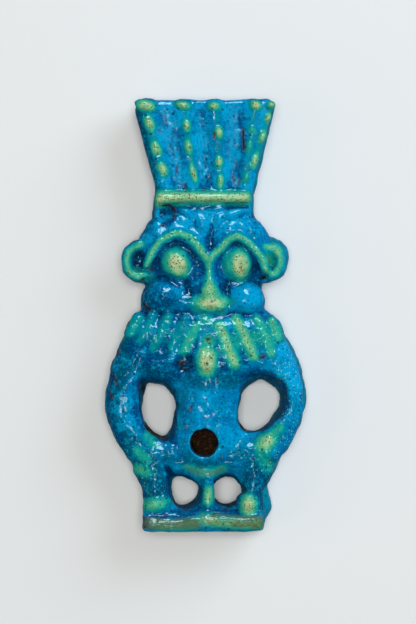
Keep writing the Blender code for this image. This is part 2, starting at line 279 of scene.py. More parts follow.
class Group(Tree):
    """A Geometry Nodes group that takes a mesh and gives one back in a material."""

    def __init__(self, name: str, sizes: dict[str, float | int]) -> None:
        """Starts the group.

        Args:
            name: The group's name.
            sizes: The named inputs and their values; a whole number makes a whole-number input.
        """
        super().__init__(bpy.data.node_groups.new(name, "GeometryNodeTree"))
        self.sizes = sizes
        self.socket("Geometry", "NodeSocketGeometry")
        for label, value in sizes.items():
            kind = "NodeSocketInt" if isinstance(value, int) else "NodeSocketFloat"
            self.socket(label, kind).default_value = value
        self.socket("Material", "NodeSocketMaterial")
        self.socket("Geometry", "NodeSocketGeometry", "OUTPUT")
        self.given = self.node("NodeGroupInput").outputs

    def socket(self, label: str, kind: str, way: str = "INPUT") -> bpy.types.NodeTreeInterfaceSocket:
        """Adds an input or an output to the group."""
        return self.tree.interface.new_socket(label, in_out=way, socket_type=kind)

    def stored(self, name: str, kind: str = "FLOAT") -> Socket:
        """Reads an attribute that is stored on the mesh."""
        return self.out("GeometryNodeInputNamedAttribute", {"Name": name}, data_type=kind)

    def scaled(self, vector: Socket, by: Socket) -> Socket:
        """Gives a vector times a number."""
        return self.out("ShaderNodeVectorMath", {0: vector, "Scale": by}, operation="SCALE")

    def balls(self, feeds: Feeds) -> Socket:
        """Sets a ball on each point, with the other inputs fed as given."""
        ball = self.out("GeometryNodeMeshIcoSphere", {"Radius": 1.0, "Subdivisions": 4})
        return self.out("GeometryNodeInstanceOnPoints", {**feeds, "Instance": ball})

    def end(self, geometry: Socket) -> None:
        """Ends the group: instances become real and take the material.

        Args:
            geometry: What the group has made.
        """
        real = self.out("GeometryNodeRealizeInstances", {0: geometry})
        dressed = self.out("GeometryNodeSetMaterial", {"Geometry": real, "Material": self.given["Material"]})
        self.node("NodeGroupOutput", {0: dressed})

    def run(self, mesh: bpy.types.Mesh, material: bpy.types.Material) -> bpy.types.Mesh:
        """Runs the group on a mesh, which it uses up.

        Args:
            mesh: The mesh that goes in.
            material: The material that the result carries.

        Returns:
            The mesh that comes out.
        """
        values = {**self.sizes, "Material": material}
        holder = put_out("holder", mesh)
        modifier = holder.modifiers.new("nodes", "NODES")
        modifier.node_group = self.tree
        for item in self.tree.interface.items_tree:
            if item.item_type == "SOCKET" and item.in_out == "INPUT" and item.name in values:
                modifier[item.identifier] = values[item.name]
        return settled(holder)


class CoilNodes(Group):
    """Geometry Nodes that sweep round rolls of clay along laid paths."""

    def __init__(self) -> None:
        """Builds the group: a tapering tube on each path and a ball on each end."""
        super().__init__("clay_coils", {"Sides": 20})
        girth = self.stored("girth")
        curve = self.out("GeometryNodeMeshToCurve", {"Mesh": self.given["Geometry"]})
        path = self.out("GeometryNodeSetCurveRadius", {"Curve": curve, "Radius": girth})
        round_one = {"Resolution": self.given["Sides"], "Radius": 1.0}
        ring = self.out("GeometryNodeCurvePrimitiveCircle", round_one)
        tube = self.node("GeometryNodeCurveToMesh", {"Curve": path, "Profile Curve": ring, "Fill Caps": True})
        # Where the tube has an input for its girth, the curve's own radius does nothing.
        if "Scale" in tube.inputs:
            self.feed(tube, "Scale", girth)
        ends = self.out("GeometryNodeCurveEndpointSelection")
        caps = self.balls({"Points": path, "Selection": ends, "Scale": girth})
        both = self.node("GeometryNodeJoinGeometry", {0: caps})
        self.feed(both, 0, tube.outputs[0])
        self.end(both.outputs[0])

    def sweep(self, coils: list[Coil], material: bpy.types.Material) -> bpy.types.Mesh:
        """Makes every roll.

        Args:
            coils: The rolls, each as x, y, z and radius along its path.
            material: The material that the rolls carry.

        Returns:
            One mesh of all the rolls, in metres.
        """
        points, girths, edges = [], [], []
        for coil in coils:
            rows = eased(coil) * MM
            edges += [(len(points) + i, len(points) + i + 1) for i in range(len(rows) - 1)]
            points += [tuple(row[:3]) for row in rows]
            girths += list(rows[:, 3])
        mesh = bpy.data.meshes.new("coil_paths")
        mesh.from_pydata(points, edges, [])
        mesh.attributes.new("girth", "FLOAT", "POINT").data.foreach_set("value", girths)
        return self.run(mesh, material)


@dataclass(frozen=True)
class Bead:
    """A flattened bead of clay, turned about the vertical by degrees."""

    centre: Place
    radii: Place
    turn: float = 0.0


class BeadNodes(Group):
    """Geometry Nodes that set uneven beads of clay on laid points."""

    def __init__(self) -> None:
        """Builds the group: a flattened ball on each point, sized unevenly."""
        super().__init__("clay_beads", {"Unevenness": 0.12, "Seed": 7})
        size = self.stored("radii", "FLOAT_VECTOR")
        turn = self.stored("turn", "FLOAT_VECTOR")
        least = self.less(1.0, self.given["Unevenness"])
        most = self.add(1.0, self.given["Unevenness"])
        draw = {2: least, 3: most, "Seed": self.given["Seed"]}
        chance = self.node("FunctionNodeRandomValue", draw, data_type="FLOAT").outputs[1]
        size = self.scaled(size, chance)
        self.end(self.balls({"Points": self.given["Geometry"], "Rotation": turn, "Scale": size}))

    def set_out(self, beads: list[Bead], material: bpy.types.Material) -> bpy.types.Mesh:
        """Makes every bead.

        Args:
            beads: The beads to make.
            material: The material that they carry.

        Returns:
            One mesh of all the beads, in metres.
        """
        mesh = bpy.data.meshes.new("bead_points")
        mesh.from_pydata([tuple(np.array(b.centre) * MM) for b in beads], [], [])
        radii = np.array([b.radii for b in beads]) * MM
        turns = np.array([(0.0, 0.0, math.radians(b.turn)) for b in beads])
        for name, rows in (("radii", radii), ("turn", turns)):
            mesh.attributes.new(name, "FLOAT_VECTOR", "POINT").data.foreach_set("vector", rows.ravel())
        return self.run(mesh, material)


class ClayBed:
    """Clay laid down as balls, blocks, rolls and beads before it is fused."""

    def __init__(self) -> None:
        """Starts with an empty bed."""
        self.lumps = bmesh.new()
        self.coils: list[Coil] = []
        self.beads: list[Bead] = []

    def ball(self, centre: Place, radii: Place) -> None:
        """Lays a ball stretched to three radii."""
        stretch = Matrix.Translation(Vector(centre) * MM) @ Matrix.Diagonal((*[r * MM for r in radii], 1.0))
        bmesh.ops.create_icosphere(self.lumps, subdivisions=5, radius=1.0, matrix=stretch)

    def balls(self, *groups: tuple[Ball, ...]) -> None:
        """Lays every ball of some groups.

        Args:
            groups: The groups, each of centres and radii.
        """
        for group in groups:
            for centre, radii in group:
                self.ball(centre, radii)

    def block(self, foot_x: Spot, top_x: Spot, span_y: Spot, span_z: Spot) -> None:
        """Lays a block whose left and right sides may lean.

        Args:
            foot_x: Its left and right ends at the lower y.
            top_x: Its left and right ends at the upper y.
            span_y: Its lower and upper y.
            span_z: Its underside and top.
        """
        for vertex in bmesh.ops.create_cube(self.lumps, size=1.0)["verts"]:
            right, high, top = (int(c > 0) for c in vertex.co)
            x = (foot_x, top_x)[high][right]
            vertex.co = Vector((x, span_y[high], span_z[top])) * MM

    def halves(self, foot_x: Spot, top_x: Spot, span_y: Spot, span_z: Spot) -> None:
        """Lays a block as two pressed halves, the back one a little out of line.

        Args:
            foot_x: Its left and right ends at the lower y.
            top_x: Its left and right ends at the upper y.
            span_y: Its lower and upper y.
            span_z: Its underside and top.
        """
        dx, dy = MOULD.shift
        self.block(foot_x, top_x, span_y, (MOULD.seam_z - MOULD.overlap, span_z[1]))
        back_foot, back_top = (tuple(x + dx for x in ends) for ends in (foot_x, top_x))
        self.block(back_foot, back_top, tuple(y + dy for y in span_y), (span_z[0], MOULD.seam_z))

    def roll(self, *coils: Coil) -> None:
        """Lays rolls of clay."""
        self.coils += coils

    def front(self, path: tuple[Station, ...], crest_z: float) -> None:
        """Lays a roll in the front half."""
        self.roll(MOULD.roll(path, Half.FRONT, crest_z))

    def limb(self, path: tuple[Station, ...], crest_z: float) -> None:
        """Lays the same roll in both halves."""
        self.roll(MOULD.roll(path, Half.FRONT, crest_z), MOULD.roll(path, Half.BACK))

    def gather(
        self, name: str, material: bpy.types.Material, start: bpy.types.Mesh | None = None
    ) -> bpy.types.Object:
        """Puts everything that was laid into one object.

        Args:
            name: The object's name.
            material: The material that the clay carries.
            start: A mesh that the clay is laid on, or None.

        Returns:
            The object, in metres.
        """
        if start:
            self.lumps.from_mesh(start)
        self.lumps.from_mesh(CoilNodes().sweep(self.coils, material))
        if self.beads:
            self.lumps.from_mesh(BeadNodes().set_out(self.beads, material))
        return poured(name, self.lumps)


@dataclass(frozen=True)
class Opening:
    """A gap through the figure, by its outline at the throat and where it opens to the front."""

    throat: tuple[Spot, ...]
    front: tuple[Spot, ...]
    throat_z: float = 2.9
    front_z: float = 6.3
    start_z: float = -1.0
    end_z: float = 9.0
    back_flare: float = 0.12
    steps: int = 8

    def cut_from(self, shape: bmesh.types.BMesh) -> None:
        """Adds the plug that cuts the gap.

        Args:
            shape: The cutter's mesh, which takes the plug.
        """
        throat, front = np.array(self.throat), np.array(self.front)
        back = throat + (throat - throat.mean(axis=0)) * self.back_flare
        reach = (self.end_z - self.throat_z) / (self.front_z - self.throat_z)
        mouth = throat + (front - throat) * reach
        rings = []
        for ring, z in ((back, self.start_z), (throat, self.throat_z), (mouth, self.end_z)):
            loop = eased_loop(ring, self.steps)
            rings.append([shape.verts.new(Vector((x, y, z)) * MM) for x, y in loop])
        for low, high in zip(rings[:-1], rings[1:]):
            for i, vertex in enumerate(low):
                j = (i + 1) % len(low)
                shape.faces.new((vertex, low[j], high[j], high[i]))
        shape.faces.new(rings[0][::-1])
        shape.faces.new(rings[-1])


@dataclass(frozen=True)
class Dab:
    """A soft oval patch on the front: where glaze ran thin, or a mark."""

    at: Spot
    radii: Spot
    amount: float = 1.0
    turn: float = 0.0

    def mask(self, xy: np.ndarray, fade: Spot) -> np.ndarray:
        """Gives the patch's strength at each point.

        Args:
            xy: The points, in millimetres.
            fade: How far in from the edge and out from it the patch fades.

        Returns:
            The strength from 0 to 1 of each point.
        """
        a = math.radians(self.turn)
        dx, dy = xy[:, 0] - self.at[0], xy[:, 1] - self.at[1]
        u = (dx * math.cos(a) + dy * math.sin(a)) / self.radii[0]
        v = (dy * math.cos(a) - dx * math.sin(a)) / self.radii[1]
        least = min(self.radii)
        gap = (np.sqrt(u * u + v * v) - 1.0) * least
        return self.amount * (1.0 - soft_step(gap, -min(fade[0], least), fade[1]))


@dataclass(frozen=True)
class Stroke:
    """A soft line on the front through points, each with its own width."""

    path: tuple[Station, ...]
    amount: float = 1.0

    def mask(self, xy: np.ndarray, fade: Spot) -> np.ndarray:
        """Gives the line's strength at each point.

        Args:
            xy: The points, in millimetres.
            fade: How far in from the edge and out from it the line fades.

        Returns:
            The strength from 0 to 1 of each point.
        """
        rows = eased(self.path, steps=4)
        best = np.full(len(xy), np.inf)
        for a, b in zip(rows[:-1], rows[1:]):
            along = b[:2] - a[:2]
            t = np.clip(((xy - a[:2]) @ along) / max(float(along @ along), 1e-9), 0.0, 1.0)
            gap = np.linalg.norm(xy - a[:2] - t[:, None] * along, axis=1)
            best = np.minimum(best, gap - a[2] - t * (b[2] - a[2]))
        least = min(r for _, _, r in self.path)
        return self.amount * (1.0 - soft_step(best, -min(fade[0], least), fade[1]))


Mark = Dab | Stroke


def widened(path: tuple[Station, ...], by: float, lift: float = 0.0) -> tuple[Station, ...]:
    """Gives a path with wider or narrower stations.

    Args:
        path: The x, y and radius along it.
        by: What each radius is multiplied by.
        lift: How far it moves up the figure.

    Returns:
        The new path.
    """
    return tuple((x, y + lift, r * by) for x, y, r in path)


@dataclass(frozen=True)
class Glaze:
    """Where the glaze ran thin, pooled, speckled, dulled or came away, where shade and highlights are
    painted, and the dents under it.
    """

    thin: tuple[Mark, ...] = ()
    crests: tuple[Mark, ...] = ()
    # Pooled glaze, with painted shade in grooves, sockets and under ridges.
    pool: tuple[Mark, ...] = ()
    # Painted shade.
    painted_shade: tuple[Mark, ...] = ()
    speck: tuple[Mark, ...] = ()
    bare: tuple[Mark, ...] = ()
    # Painted highlight patches.
    clear: tuple[Mark, ...] = ()
    stain: tuple[Mark, ...] = ()
    rust: tuple[Mark, ...] = ()
    matt: tuple[Mark, ...] = ()
    dents: tuple[tuple[Mark, float], ...] = ()

    def __add__(self, other: Glaze) -> Glaze:
        """Lays other marks beside these."""
        return Glaze(*(getattr(self, kind.name) + getattr(other, kind.name) for kind in fields(self)))


class Part:
    """One part of the figure: the clay that is laid for it, and its glaze."""

    marks: Glaze = Glaze()

    def lay_broad(self, bed: ClayBed) -> None:
        """Lays the part's mass.

        Args:
            bed: The bed that takes the clay.
        """

    def lay_fine(self, bed: ClayBed) -> None:
        """Lays the part's features.

        Args:
            bed: The bed that takes the clay.
        """

    def glaze(self) -> Glaze:
        """Marks where the glaze on the part is thin, pooled, speckled or gone, and where shade and highlights
        are painted.

        Returns:
            The marks.
        """
        return self.marks


@dataclass
class Crown(Part):
    """The plume crown over the headband."""

    foot_y: float = 42.8
    top_y: float = 54.75
    foot_x: Spot = (-6.2, 5.35)
    top_x: Spot = (-8.9, 8.35)
    span_z: Spot = (0.55, 6.2)
    neck_y: Spot = (36.5, 45.0)
    neck_x: Spot = (-6.5, 5.75)
    neck_z: Spot = (0.9, 5.6)
    brow_mass: Ball = ((-0.4, 39.6, 3.0), (6.6, 8.2, 3.6))
    # Each rib by its x at the foot, its x at the top and its girth.
    ribs: tuple[Place, ...] = (
        (-5.1, -7.5, 1.3),
        (-1.6, -2.8, 1.2),
        (1.85, 1.2, 1.2),
        (4.6, 6.1, 1.1),
        (5.2, 7.6, 0.8),
    )
    foot_radius: float = 0.9
    top_radius: float = 1.2
    proud_y: float = 0.3
    crest_z: float = 6.55
    band_y: float = 42.3
    band_radius: float = 0.78
    band_crest_z: float = 7.15
    band: tuple[Station, ...] = (
        (-5.65, 42.18, 0.858),
        (-3.5, 42.3, 0.78),
        (1.0, 42.34, 0.7488),
        (5.05, 42.3, 0.702),
    )
    plume_rise: float = 1.5
    evenness: float = 0.5
    bead_rows: tuple[tuple[Pebble, ...], ...] = (
        (
            (-7.6, 53.94, 1.05, 0.62, -15.0),
            (-7.15, 51.67, 0.5, 0.85, 25.0),
            (-6.28, 48.53, 0.52, 0.82, 22.0),
            (-5.47, 45.9, 0.5, 0.78, 28.0),
        ),
        (
            (-2.88, 54.0, 0.75, 0.42, -12.0),
            (-2.44, 51.37, 0.4, 0.62, 8.0),
            (-2.19, 48.66, 0.34, 0.68, 8.0),
            (-1.55, 45.39, 0.2, 0.62, 14.0),
        ),
        (
            (1.08, 53.88, 0.6, 0.42, -10.0),
            (1.66, 50.54, 0.4, 0.62, 12.0),
            (1.66, 46.82, 0.42, 0.62, 6.0),
            (1.83, 44.37, 0.22, 0.5, 0.0),
        ),
        (
            (6.3, 54.0, 0.62, 0.5, -35.0),
            (5.86, 50.86, 0.36, 0.5, -8.0),
            (5.47, 48.7, 0.26, 0.55, -8.0),
            (5.05, 44.75, 0.22, 0.5, -8.0),
        ),
        (
            (8.3, 54.05, 0.36, 0.36, 0.0),
            (7.94, 52.43, 0.28, 0.5, -20.0),
            (7.13, 49.97, 0.34, 0.62, -18.0),
            (6.2, 47.01, 0.28, 0.66, -18.0),
        ),
    )
    bead_sink: float = 0.45
    bead_spread: Spot = (1.4, 1.25)
    bead_height: float = 0.8
    bead_tint: float = 0.9
    faint_row: int = 3
    faint_tint: float = 0.5
    row_radius: float = 0.12
    row_tints: tuple[float, ...] = (0.2, 0.12, 0.14, 0.18, 0.24)
    pits: tuple[Spot, ...] = (
        (-5.1, 52.0), (-5.85, 50.7), (-6.1, 47.8), (-6.35, 46.4), (-0.3, 48.6), (1.95, 48.65),
        (0.0, 46.5), (0.45, 44.55), (-3.65, 45.8), (3.5, 50.15), (3.95, 52.4), (-2.6, 43.7),
        (-2.6, 43.05), (-0.3, 43.2), (3.8, 46.5), (6.1, 52.3), (-4.3, 53.2), (2.3, 52.2),
    )
    pit_size: Spot = (0.1, 0.1)
    pit_dent: Spot = (0.16, 0.16)
    pit_depth: float = 0.14
    pit_bare: float = 0.95
    marks: Glaze = Glaze(
        thin=(Stroke(((-5.75, 42.1, 0.55), (-4.6, 42.3, 0.48), (5.05, 42.3, 0.42)), 0.92),),
        # Pooled glaze with painted shade under the band and beside the ribs.
        pool=(
            Stroke(((-5.65, 41.25, 0.2), (5.05, 41.25, 0.2)), 0.9),
            Stroke(((-2.6, 43.9, 0.08), (-4.1, 53.0, 0.12)), 0.28),
            Stroke(((0.85, 43.9, 0.08), (-0.1, 53.0, 0.12)), 0.28),
            Stroke(((3.6, 43.9, 0.08), (4.8, 53.0, 0.12)), 0.28),
            Stroke(((4.3, 52.5, 0.05), (4.75, 49.0, 0.08), (4.3, 45.0, 0.08)), 0.6),
        ),
        # Painted shade down the crown's left edge.
        painted_shade=(Stroke(((-8.9, 53.6, 0.3), (-6.3, 43.6, 0.3))),),
        bare=(
            Stroke(((4.68, 50.9, 0.1), (4.8, 49.6, 0.13), (4.74, 48.3, 0.09))),
            Stroke(((1.05, 50.5, 0.08), (1.1, 49.75, 0.08)), 0.9),
            Stroke(((3.45, 44.75, 0.08), (4.2, 43.9, 0.1))),
        ),
        # Painted highlight patches on the plumes and over the band.
        clear=(
            Stroke(((-6.0, 53.6, 1.6), (5.8, 53.6, 1.6)), 0.6),
            Stroke(((-5.0, 50.0, 1.2), (-4.0, 45.5, 1.0)), 0.8),
            Stroke(((-0.9, 50.5, 1.0), (-0.3, 45.5, 1.0)), 0.8),
            Stroke(((3.4, 50.5, 1.2), (3.4, 45.5, 1.0)), 0.8),
            Stroke(((-5.0, 44.3, 0.7), (5.0, 44.3, 0.7))),
        ),
        stain=(Stroke(((-5.65, 41.7, 0.1), (5.05, 41.7, 0.1)), 0.35),),
        dents=((Stroke(((-5.65, 41.2, 0.2), (5.05, 41.2, 0.2))), 0.2),),
    )

    def lay_broad(self, bed: ClayBed) -> None:
        """Lays the fan, the neck under it and the plume ribs.

        Args:
            bed: The bed that takes the clay.
        """
        bed.halves(self.foot_x, self.top_x, (self.foot_y, self.top_y), self.span_z)
        bed.halves(self.neck_x, self.neck_x, self.neck_y, self.neck_z)
        bed.ball(*self.brow_mass)
        for foot_x, top_x, girth in self.ribs:
            r = self.top_radius * girth
            foot = (foot_x, self.band_y + self.band_radius, self.foot_radius * girth)
            bed.limb((foot, (top_x, self.top_y + self.proud_y - r, r)), self.crest_z)

    def lay_fine(self, bed: ClayBed) -> None:
        """Lays the headband and the beads along the ribs.

        Args:
            bed: The bed that takes the clay.
        """
        bed.limb(self.band, self.band_crest_z)
        wide, tall = self.bead_spread
        for row in self.bead_rows:
            for x, y, rx, ry, turn in row:
                centre = (x, y, self.crest_z - self.bead_sink)
                bed.beads.append(Bead(centre, (rx * wide, ry * tall, self.bead_height), turn))

    def plumes(self, xy: np.ndarray) -> np.ndarray:
        """Gives how far each point lies in the plumes.

        Args:
            xy: The points, in millimetres.

        Returns:
            Zero up to the headband and one above it.
        """
        return soft_step(xy[:, 1], self.band_y, self.band_y + self.plume_rise)

    def glaze(self) -> Glaze:
        """Marks the glaze as thin on the beads and band, and pooled with painted shade between the plumes.

        Returns:
            The marks.
        """
        rows, beads = [], []
        for row, tint in zip(self.bead_rows, self.row_tints):
            rows.append(Stroke(tuple((x, y, self.row_radius) for x, y, *_ in row), tint))
            for number, (x, y, rx, ry, turn) in enumerate(row):
                faint = row is self.bead_rows[self.faint_row] and number > 0
                beads.append(Dab((x, y), (rx, ry), self.faint_tint if faint else self.bead_tint, turn))
        pits = tuple(Dab(pit, self.pit_size, self.pit_bare) for pit in self.pits)
        dents = tuple((Dab(pit, self.pit_dent), self.pit_depth) for pit in self.pits)
        return self.marks + Glaze(thin=tuple(rows), crests=tuple(beads), bare=pits, dents=dents)


@dataclass
class Head(Part):
    """The lion-like head with its brows, eyes, nose, cheeks and ears."""

    jaw: Coil = ((-5.4, 29.2, 3.7, 2.95), (4.6, 29.2, 3.7, 2.95))
    masses: tuple[Ball, ...] = (
        ((-0.25, 33.2, 3.5), (7.8, 6.6, 3.15)),
        ((0.1, 35.2, 3.2), (7.6, 8.4, 3.2)),
        ((0.4, 29.2, 4.6), (3.6, 2.6, 2.2)),
    )
    ears: tuple[Ball, ...] = (
        ((-8.3, 34.3, 3.6), (2.5, 2.9, 1.8)),
        ((7.75, 34.5, 3.6), (2.55, 2.95, 1.8)),
        ((-7.95, 34.4, 2.7), (2.5, 2.9, 1.8)),
        ((8.1, 34.6, 2.7), (2.65, 3.0, 1.8)),
    )
    cheeks: tuple[Ball, ...] = (
        ((-5.1, 29.9, 5.0), (2.6, 2.1, 2.1)),
        ((5.0, 29.5, 5.0), (2.4, 2.2, 2.15)),
    )
    evenness: float = 0.6
    even_fade: Spot = (0.5, 0.5)
    eyes: tuple[Ball, ...] = (
        ((-3.75, 34.05, 5.5), (2.1, 2.2, 2.0)),
        ((3.95, 33.95, 5.5), (2.0, 2.35, 2.0)),
    )
    nose: Coil = (
        (0.35, 34.6, 6.1, 1.05),
        (0.45, 33.0, 6.2, 0.9),
        (0.45, 31.9, 6.15, 1.1),
        (0.5, 30.6, 5.95, 1.45),
        (0.6, 29.1, 5.5, 1.8),
    )
    wings: tuple[Ball, ...] = (
        ((-0.55, 28.5, 6.0), (1.0, 0.8, 1.2)),
        ((1.65, 28.55, 6.1), (0.9, 0.8, 1.2)),
    )
    brows: tuple[tuple[Station, ...], ...] = (
        (
            (-7.5, 33.75, 0.6), (-6.75, 35.4, 0.65), (-5.6, 36.9, 0.7), (-3.8, 37.75, 0.8),
            (-2.3, 37.4, 0.9), (-1.2, 36.4, 1.0), (-0.4, 35.3, 1.0), (0.2, 34.4, 0.85),
        ),
        (
            (7.5, 33.2, 0.6), (7.15, 34.4, 0.65), (6.3, 35.7, 0.7), (5.1, 36.85, 0.75),
            (4.0, 37.4, 0.8), (2.85, 36.95, 0.8), (1.95, 35.9, 0.8), (0.9, 35.0, 0.8), (0.5, 34.4, 0.8),
        ),
    )
    brow_crest_z: float = 7.3
    pad_lift: float = 1.1
    pad_inset: float = 0.97
    pad_radius: float = 2.1
    pad_crest_z: float = 6.75
    lumps: tuple[Pebble, ...] = (
        (-2.4, 40.4, 1.2, 0.55, -35.0),
        (-0.6, 39.2, 0.6, 1.2, 25.0),
        (1.7, 39.4, 0.5, 1.3, -25.0),
        (3.6, 40.3, 1.5, 0.6, 20.0),
        (1.0, 41.0, 1.6, 0.4, 5.0),
    )
    lump_z: float = 6.25
    lump_height: float = 0.62
    rims: tuple[tuple[Station, ...], ...] = (
        (
            (-8.2, 36.4, 0.65), (-9.5, 35.7, 0.75), (-10.0, 34.4, 0.75),
            (-9.7, 33.0, 0.75), (-8.7, 32.3, 0.7), (-7.75, 32.5, 0.6),
        ),
        (
            (7.6, 36.0, 0.75), (8.7, 35.9, 0.8), (9.35, 34.9, 0.75),
            (9.35, 33.7, 0.75), (8.6, 32.6, 0.8), (7.6, 33.0, 0.65),
        ),
    )
    rim_crest_z: float = 6.4
    brow_line: float = 0.3
    brow_tint: float = 0.66
    rim_line: float = 0.35
    rim_tint: float = 0.62
    marks: Glaze = Glaze(
        thin=(
            Dab((-3.9, 34.2), (1.3, 1.4), 0.55),
            Dab((-3.6, 33.9), (0.95, 1.25), 0.97, 30.0),
            Dab((3.7, 33.9), (1.2, 1.5), 0.48, 4.0),
            Dab((4.3, 33.8), (0.85, 1.35), 0.97, 4.0),
            Stroke(((0.45, 31.5, 0.1), (0.55, 30.2, 0.4)), 0.78),
            Dab((0.65, 29.0), (1.4, 0.6)),
            Dab((-0.9, 28.5), (0.5, 0.45), 0.5),
            Dab((1.75, 28.4), (0.45, 0.45), 0.6),
            Dab((7.9, 34.4), (0.5, 0.6), 0.6),
            Dab((9.1, 35.6), (0.35, 0.6), 0.7, 20.0),
            Dab((-8.6, 32.6), (0.7, 0.3), 0.6, -15.0),
            Dab((0.0, 26.9), (0.6, 0.5), 0.4),
        ),
        crests=(
            Stroke(
                ((0.3, 34.6, 0.2), (0.4, 33.0, 0.15), (0.4, 31.8, 0.25), (0.5, 30.6, 0.8), (0.6, 29.3, 1.35)),
                0.58,
            ),
        ),
        # Pooled glaze with painted shade round the eyes, under the cheeks and on the left cheek.
        pool=(
            Stroke(
                ((-6.1, 33.8, 0.3), (-5.3, 35.6, 0.3), (-3.7, 36.3, 0.3), (-2.1, 35.7, 0.35),
                 (-1.2, 33.8, 0.4)),
                0.9,
            ),
            Stroke(((-5.8, 32.8, 0.3), (-4.3, 31.7, 0.3), (-2.5, 31.6, 0.4), (-1.1, 32.8, 0.45)), 0.9),
            Stroke(
                ((1.7, 33.9, 0.3), (2.6, 35.8, 0.2), (4.1, 36.3, 0.2), (5.6, 35.4, 0.2), (6.3, 33.6, 0.3)),
                0.75,
            ),
            Stroke(((1.6, 33.2, 0.3), (2.5, 31.6, 0.3), (4.4, 31.5, 0.3)), 0.75),
            Dab((-8.7, 34.35), (0.7, 0.95)),
            Dab((8.3, 33.9), (0.45, 0.6), 0.6),
            Stroke(((-2.4, 31.8, 0.1), (-2.1, 30.3, 0.15), (-2.4, 28.9, 0.1)), 0.8),
            Stroke(((2.7, 31.4, 0.05), (2.9, 30.2, 0.05), (3.0, 28.8, 0.05)), 0.6),
            Stroke(((-7.6, 28.2, 0.15), (-5.0, 27.6, 0.1), (-2.4, 27.8, 0.15), (-1.5, 29.0, 0.15)), 0.75),
            Dab((-5.9, 29.9), (1.9, 1.4), 0.62, -10.0),
            Stroke(((2.9, 28.6, 0.1), (4.0, 27.5, 0.1), (6.9, 27.3, 0.15)), 0.5),
            Dab((-7.3, 33.3), (0.5, 0.35), 0.9, -20.0),
            Stroke(((-5.3, 38.9, 0.05), (-4.1, 39.5, 0.05), (-3.75, 40.5, 0.06), (-4.3, 41.2, 0.06)), 0.85),
        ),
        # Painted shade on the left cheek and by the left ear.
        painted_shade=(
            Dab((-5.8, 29.2), (2.2, 1.5), 0.85),
            Dab((-8.2, 33.0), (1.4, 1.4), 0.6),
        ),
        # Flecks, partly pale speckle of the glaze and partly painted glints.
        speck=(
            Dab((-7.2, 37.3), (1.2, 0.5), 0.5, 20.0),
            Dab((-7.9, 32.3), (1.2, 0.9), 0.5),
        ),
        bare=(
            Stroke(((-5.5, 41.3, 0.05), (-4.75, 41.4, 0.1), (-4.2, 41.0, 0.13), (-3.85, 40.5, 0.08))),
            Stroke(((-5.7, 38.75, 0.1), (-5.3, 38.72, 0.12))),
            Dab((-4.05, 39.9), (0.12, 0.2)),
            Dab((7.35, 32.2), (0.28, 0.16), turn=25.0),
            Stroke(((-7.4, 33.35, 0.07), (-6.6, 33.3, 0.07)), 0.9),
            Stroke(((-7.9, 28.9, 0.12), (-7.4, 28.3, 0.16), (-7.0, 28.2, 0.1)), 0.95),
            Dab((-3.85, 40.55), (0.12, 0.12), 0.9),
            Dab((-8.0, 32.0), (0.3, 0.16), 0.85, 30.0),
        ),
        # Painted highlight patches on the forehead and cheeks.
        clear=(
            Dab((0.6, 39.6), (4.6, 1.6)),
            Dab((-5.1, 40.0), (0.8, 0.9), 0.9),
            Dab((5.0, 29.9), (1.8, 1.5)),
            Dab((-4.6, 31.0), (2.2, 0.5), 0.5),
            Stroke(((-6.3, 35.0, 0.5), (-5.8, 37.0, 0.5)), 0.5),
            Stroke(((-5.4, 38.3, 0.4), (-2.4, 38.7, 0.4))),
        ),
        stain=(
            Dab((0.9, 28.9), (1.1, 0.5), 0.3),
            Dab((4.6, 33.6), (0.5, 1.1), 0.45),
        ),
        dents=(
            (Dab((-8.75, 34.35), (0.85, 1.15)), 0.7),
            (Dab((8.3, 34.1), (0.6, 0.8)), 0.35),
            (Dab((-5.0, 40.1), (0.95, 1.15), turn=-15.0), 0.26),
            (Stroke(((-7.7, 28.1, 0.15), (-5.0, 27.55, 0.15), (-2.2, 27.7, 0.15))), 0.2),
            (Stroke(((-2.5, 31.8, 0.2), (-2.15, 30.3, 0.25), (-2.4, 28.9, 0.2))), 0.4),
            (Stroke(((2.5, 31.6, 0.15), (2.75, 30.2, 0.15), (2.9, 28.8, 0.15))), 0.32),
            (Stroke(((-7.2, 31.9, 0.2), (-5.0, 32.4, 0.15), (-3.2, 31.9, 0.2))), 0.22),
            (Stroke(((3.2, 31.7, 0.15), (5.2, 32.0, 0.15), (7.0, 31.4, 0.15))), 0.22),
            (Stroke(((3.0, 27.6, 0.15), (7.2, 27.3, 0.15))), 0.18),
            (Stroke(((0.55, 38.8, 0.15), (0.6, 36.9, 0.25))), 0.15),
            (Dab((7.35, 32.2), (0.28, 0.2), turn=20.0), 0.5),
        ),
    )

    def lay_broad(self, bed: ClayBed) -> None:
        """Lays the skull, brow mass, muzzle and both ears.

        Args:
            bed: The bed that takes the clay.
        """
        bed.roll(self.jaw)
        bed.balls(self.masses, self.ears)

    def lay_fine(self, bed: ClayBed) -> None:
        """Lays the features of the face and the rims of the ears.

        Args:
            bed: The bed that takes the clay.
        """
        bed.balls(self.cheeks, self.eyes, self.wings)
        for brow in self.brows:
            bed.front(brow, self.brow_crest_z)
            pad = tuple((x * self.pad_inset, y + self.pad_lift, self.pad_radius) for x, y, _ in brow[1:-2])
            bed.front(pad, self.pad_crest_z)
        bed.roll(self.nose)
        for rim in self.rims:
            bed.front(rim, self.rim_crest_z)
        for x, y, rx, ry, turn in self.lumps:
            bed.beads.append(Bead((x, y, self.lump_z), (rx, ry, self.lump_height), turn))

    def glaze(self) -> Glaze:
        """Marks the thin glaze on the features, the pooled glaze and painted shade round them, and the scar.

        Returns:
            The marks.
        """
        brows = tuple(Stroke(widened(brow, self.brow_line), self.brow_tint) for brow in self.brows)
        rims = tuple(Stroke(widened(rim, self.rim_line), self.rim_tint) for rim in self.rims)
        return self.marks + Glaze(crests=brows + rims)


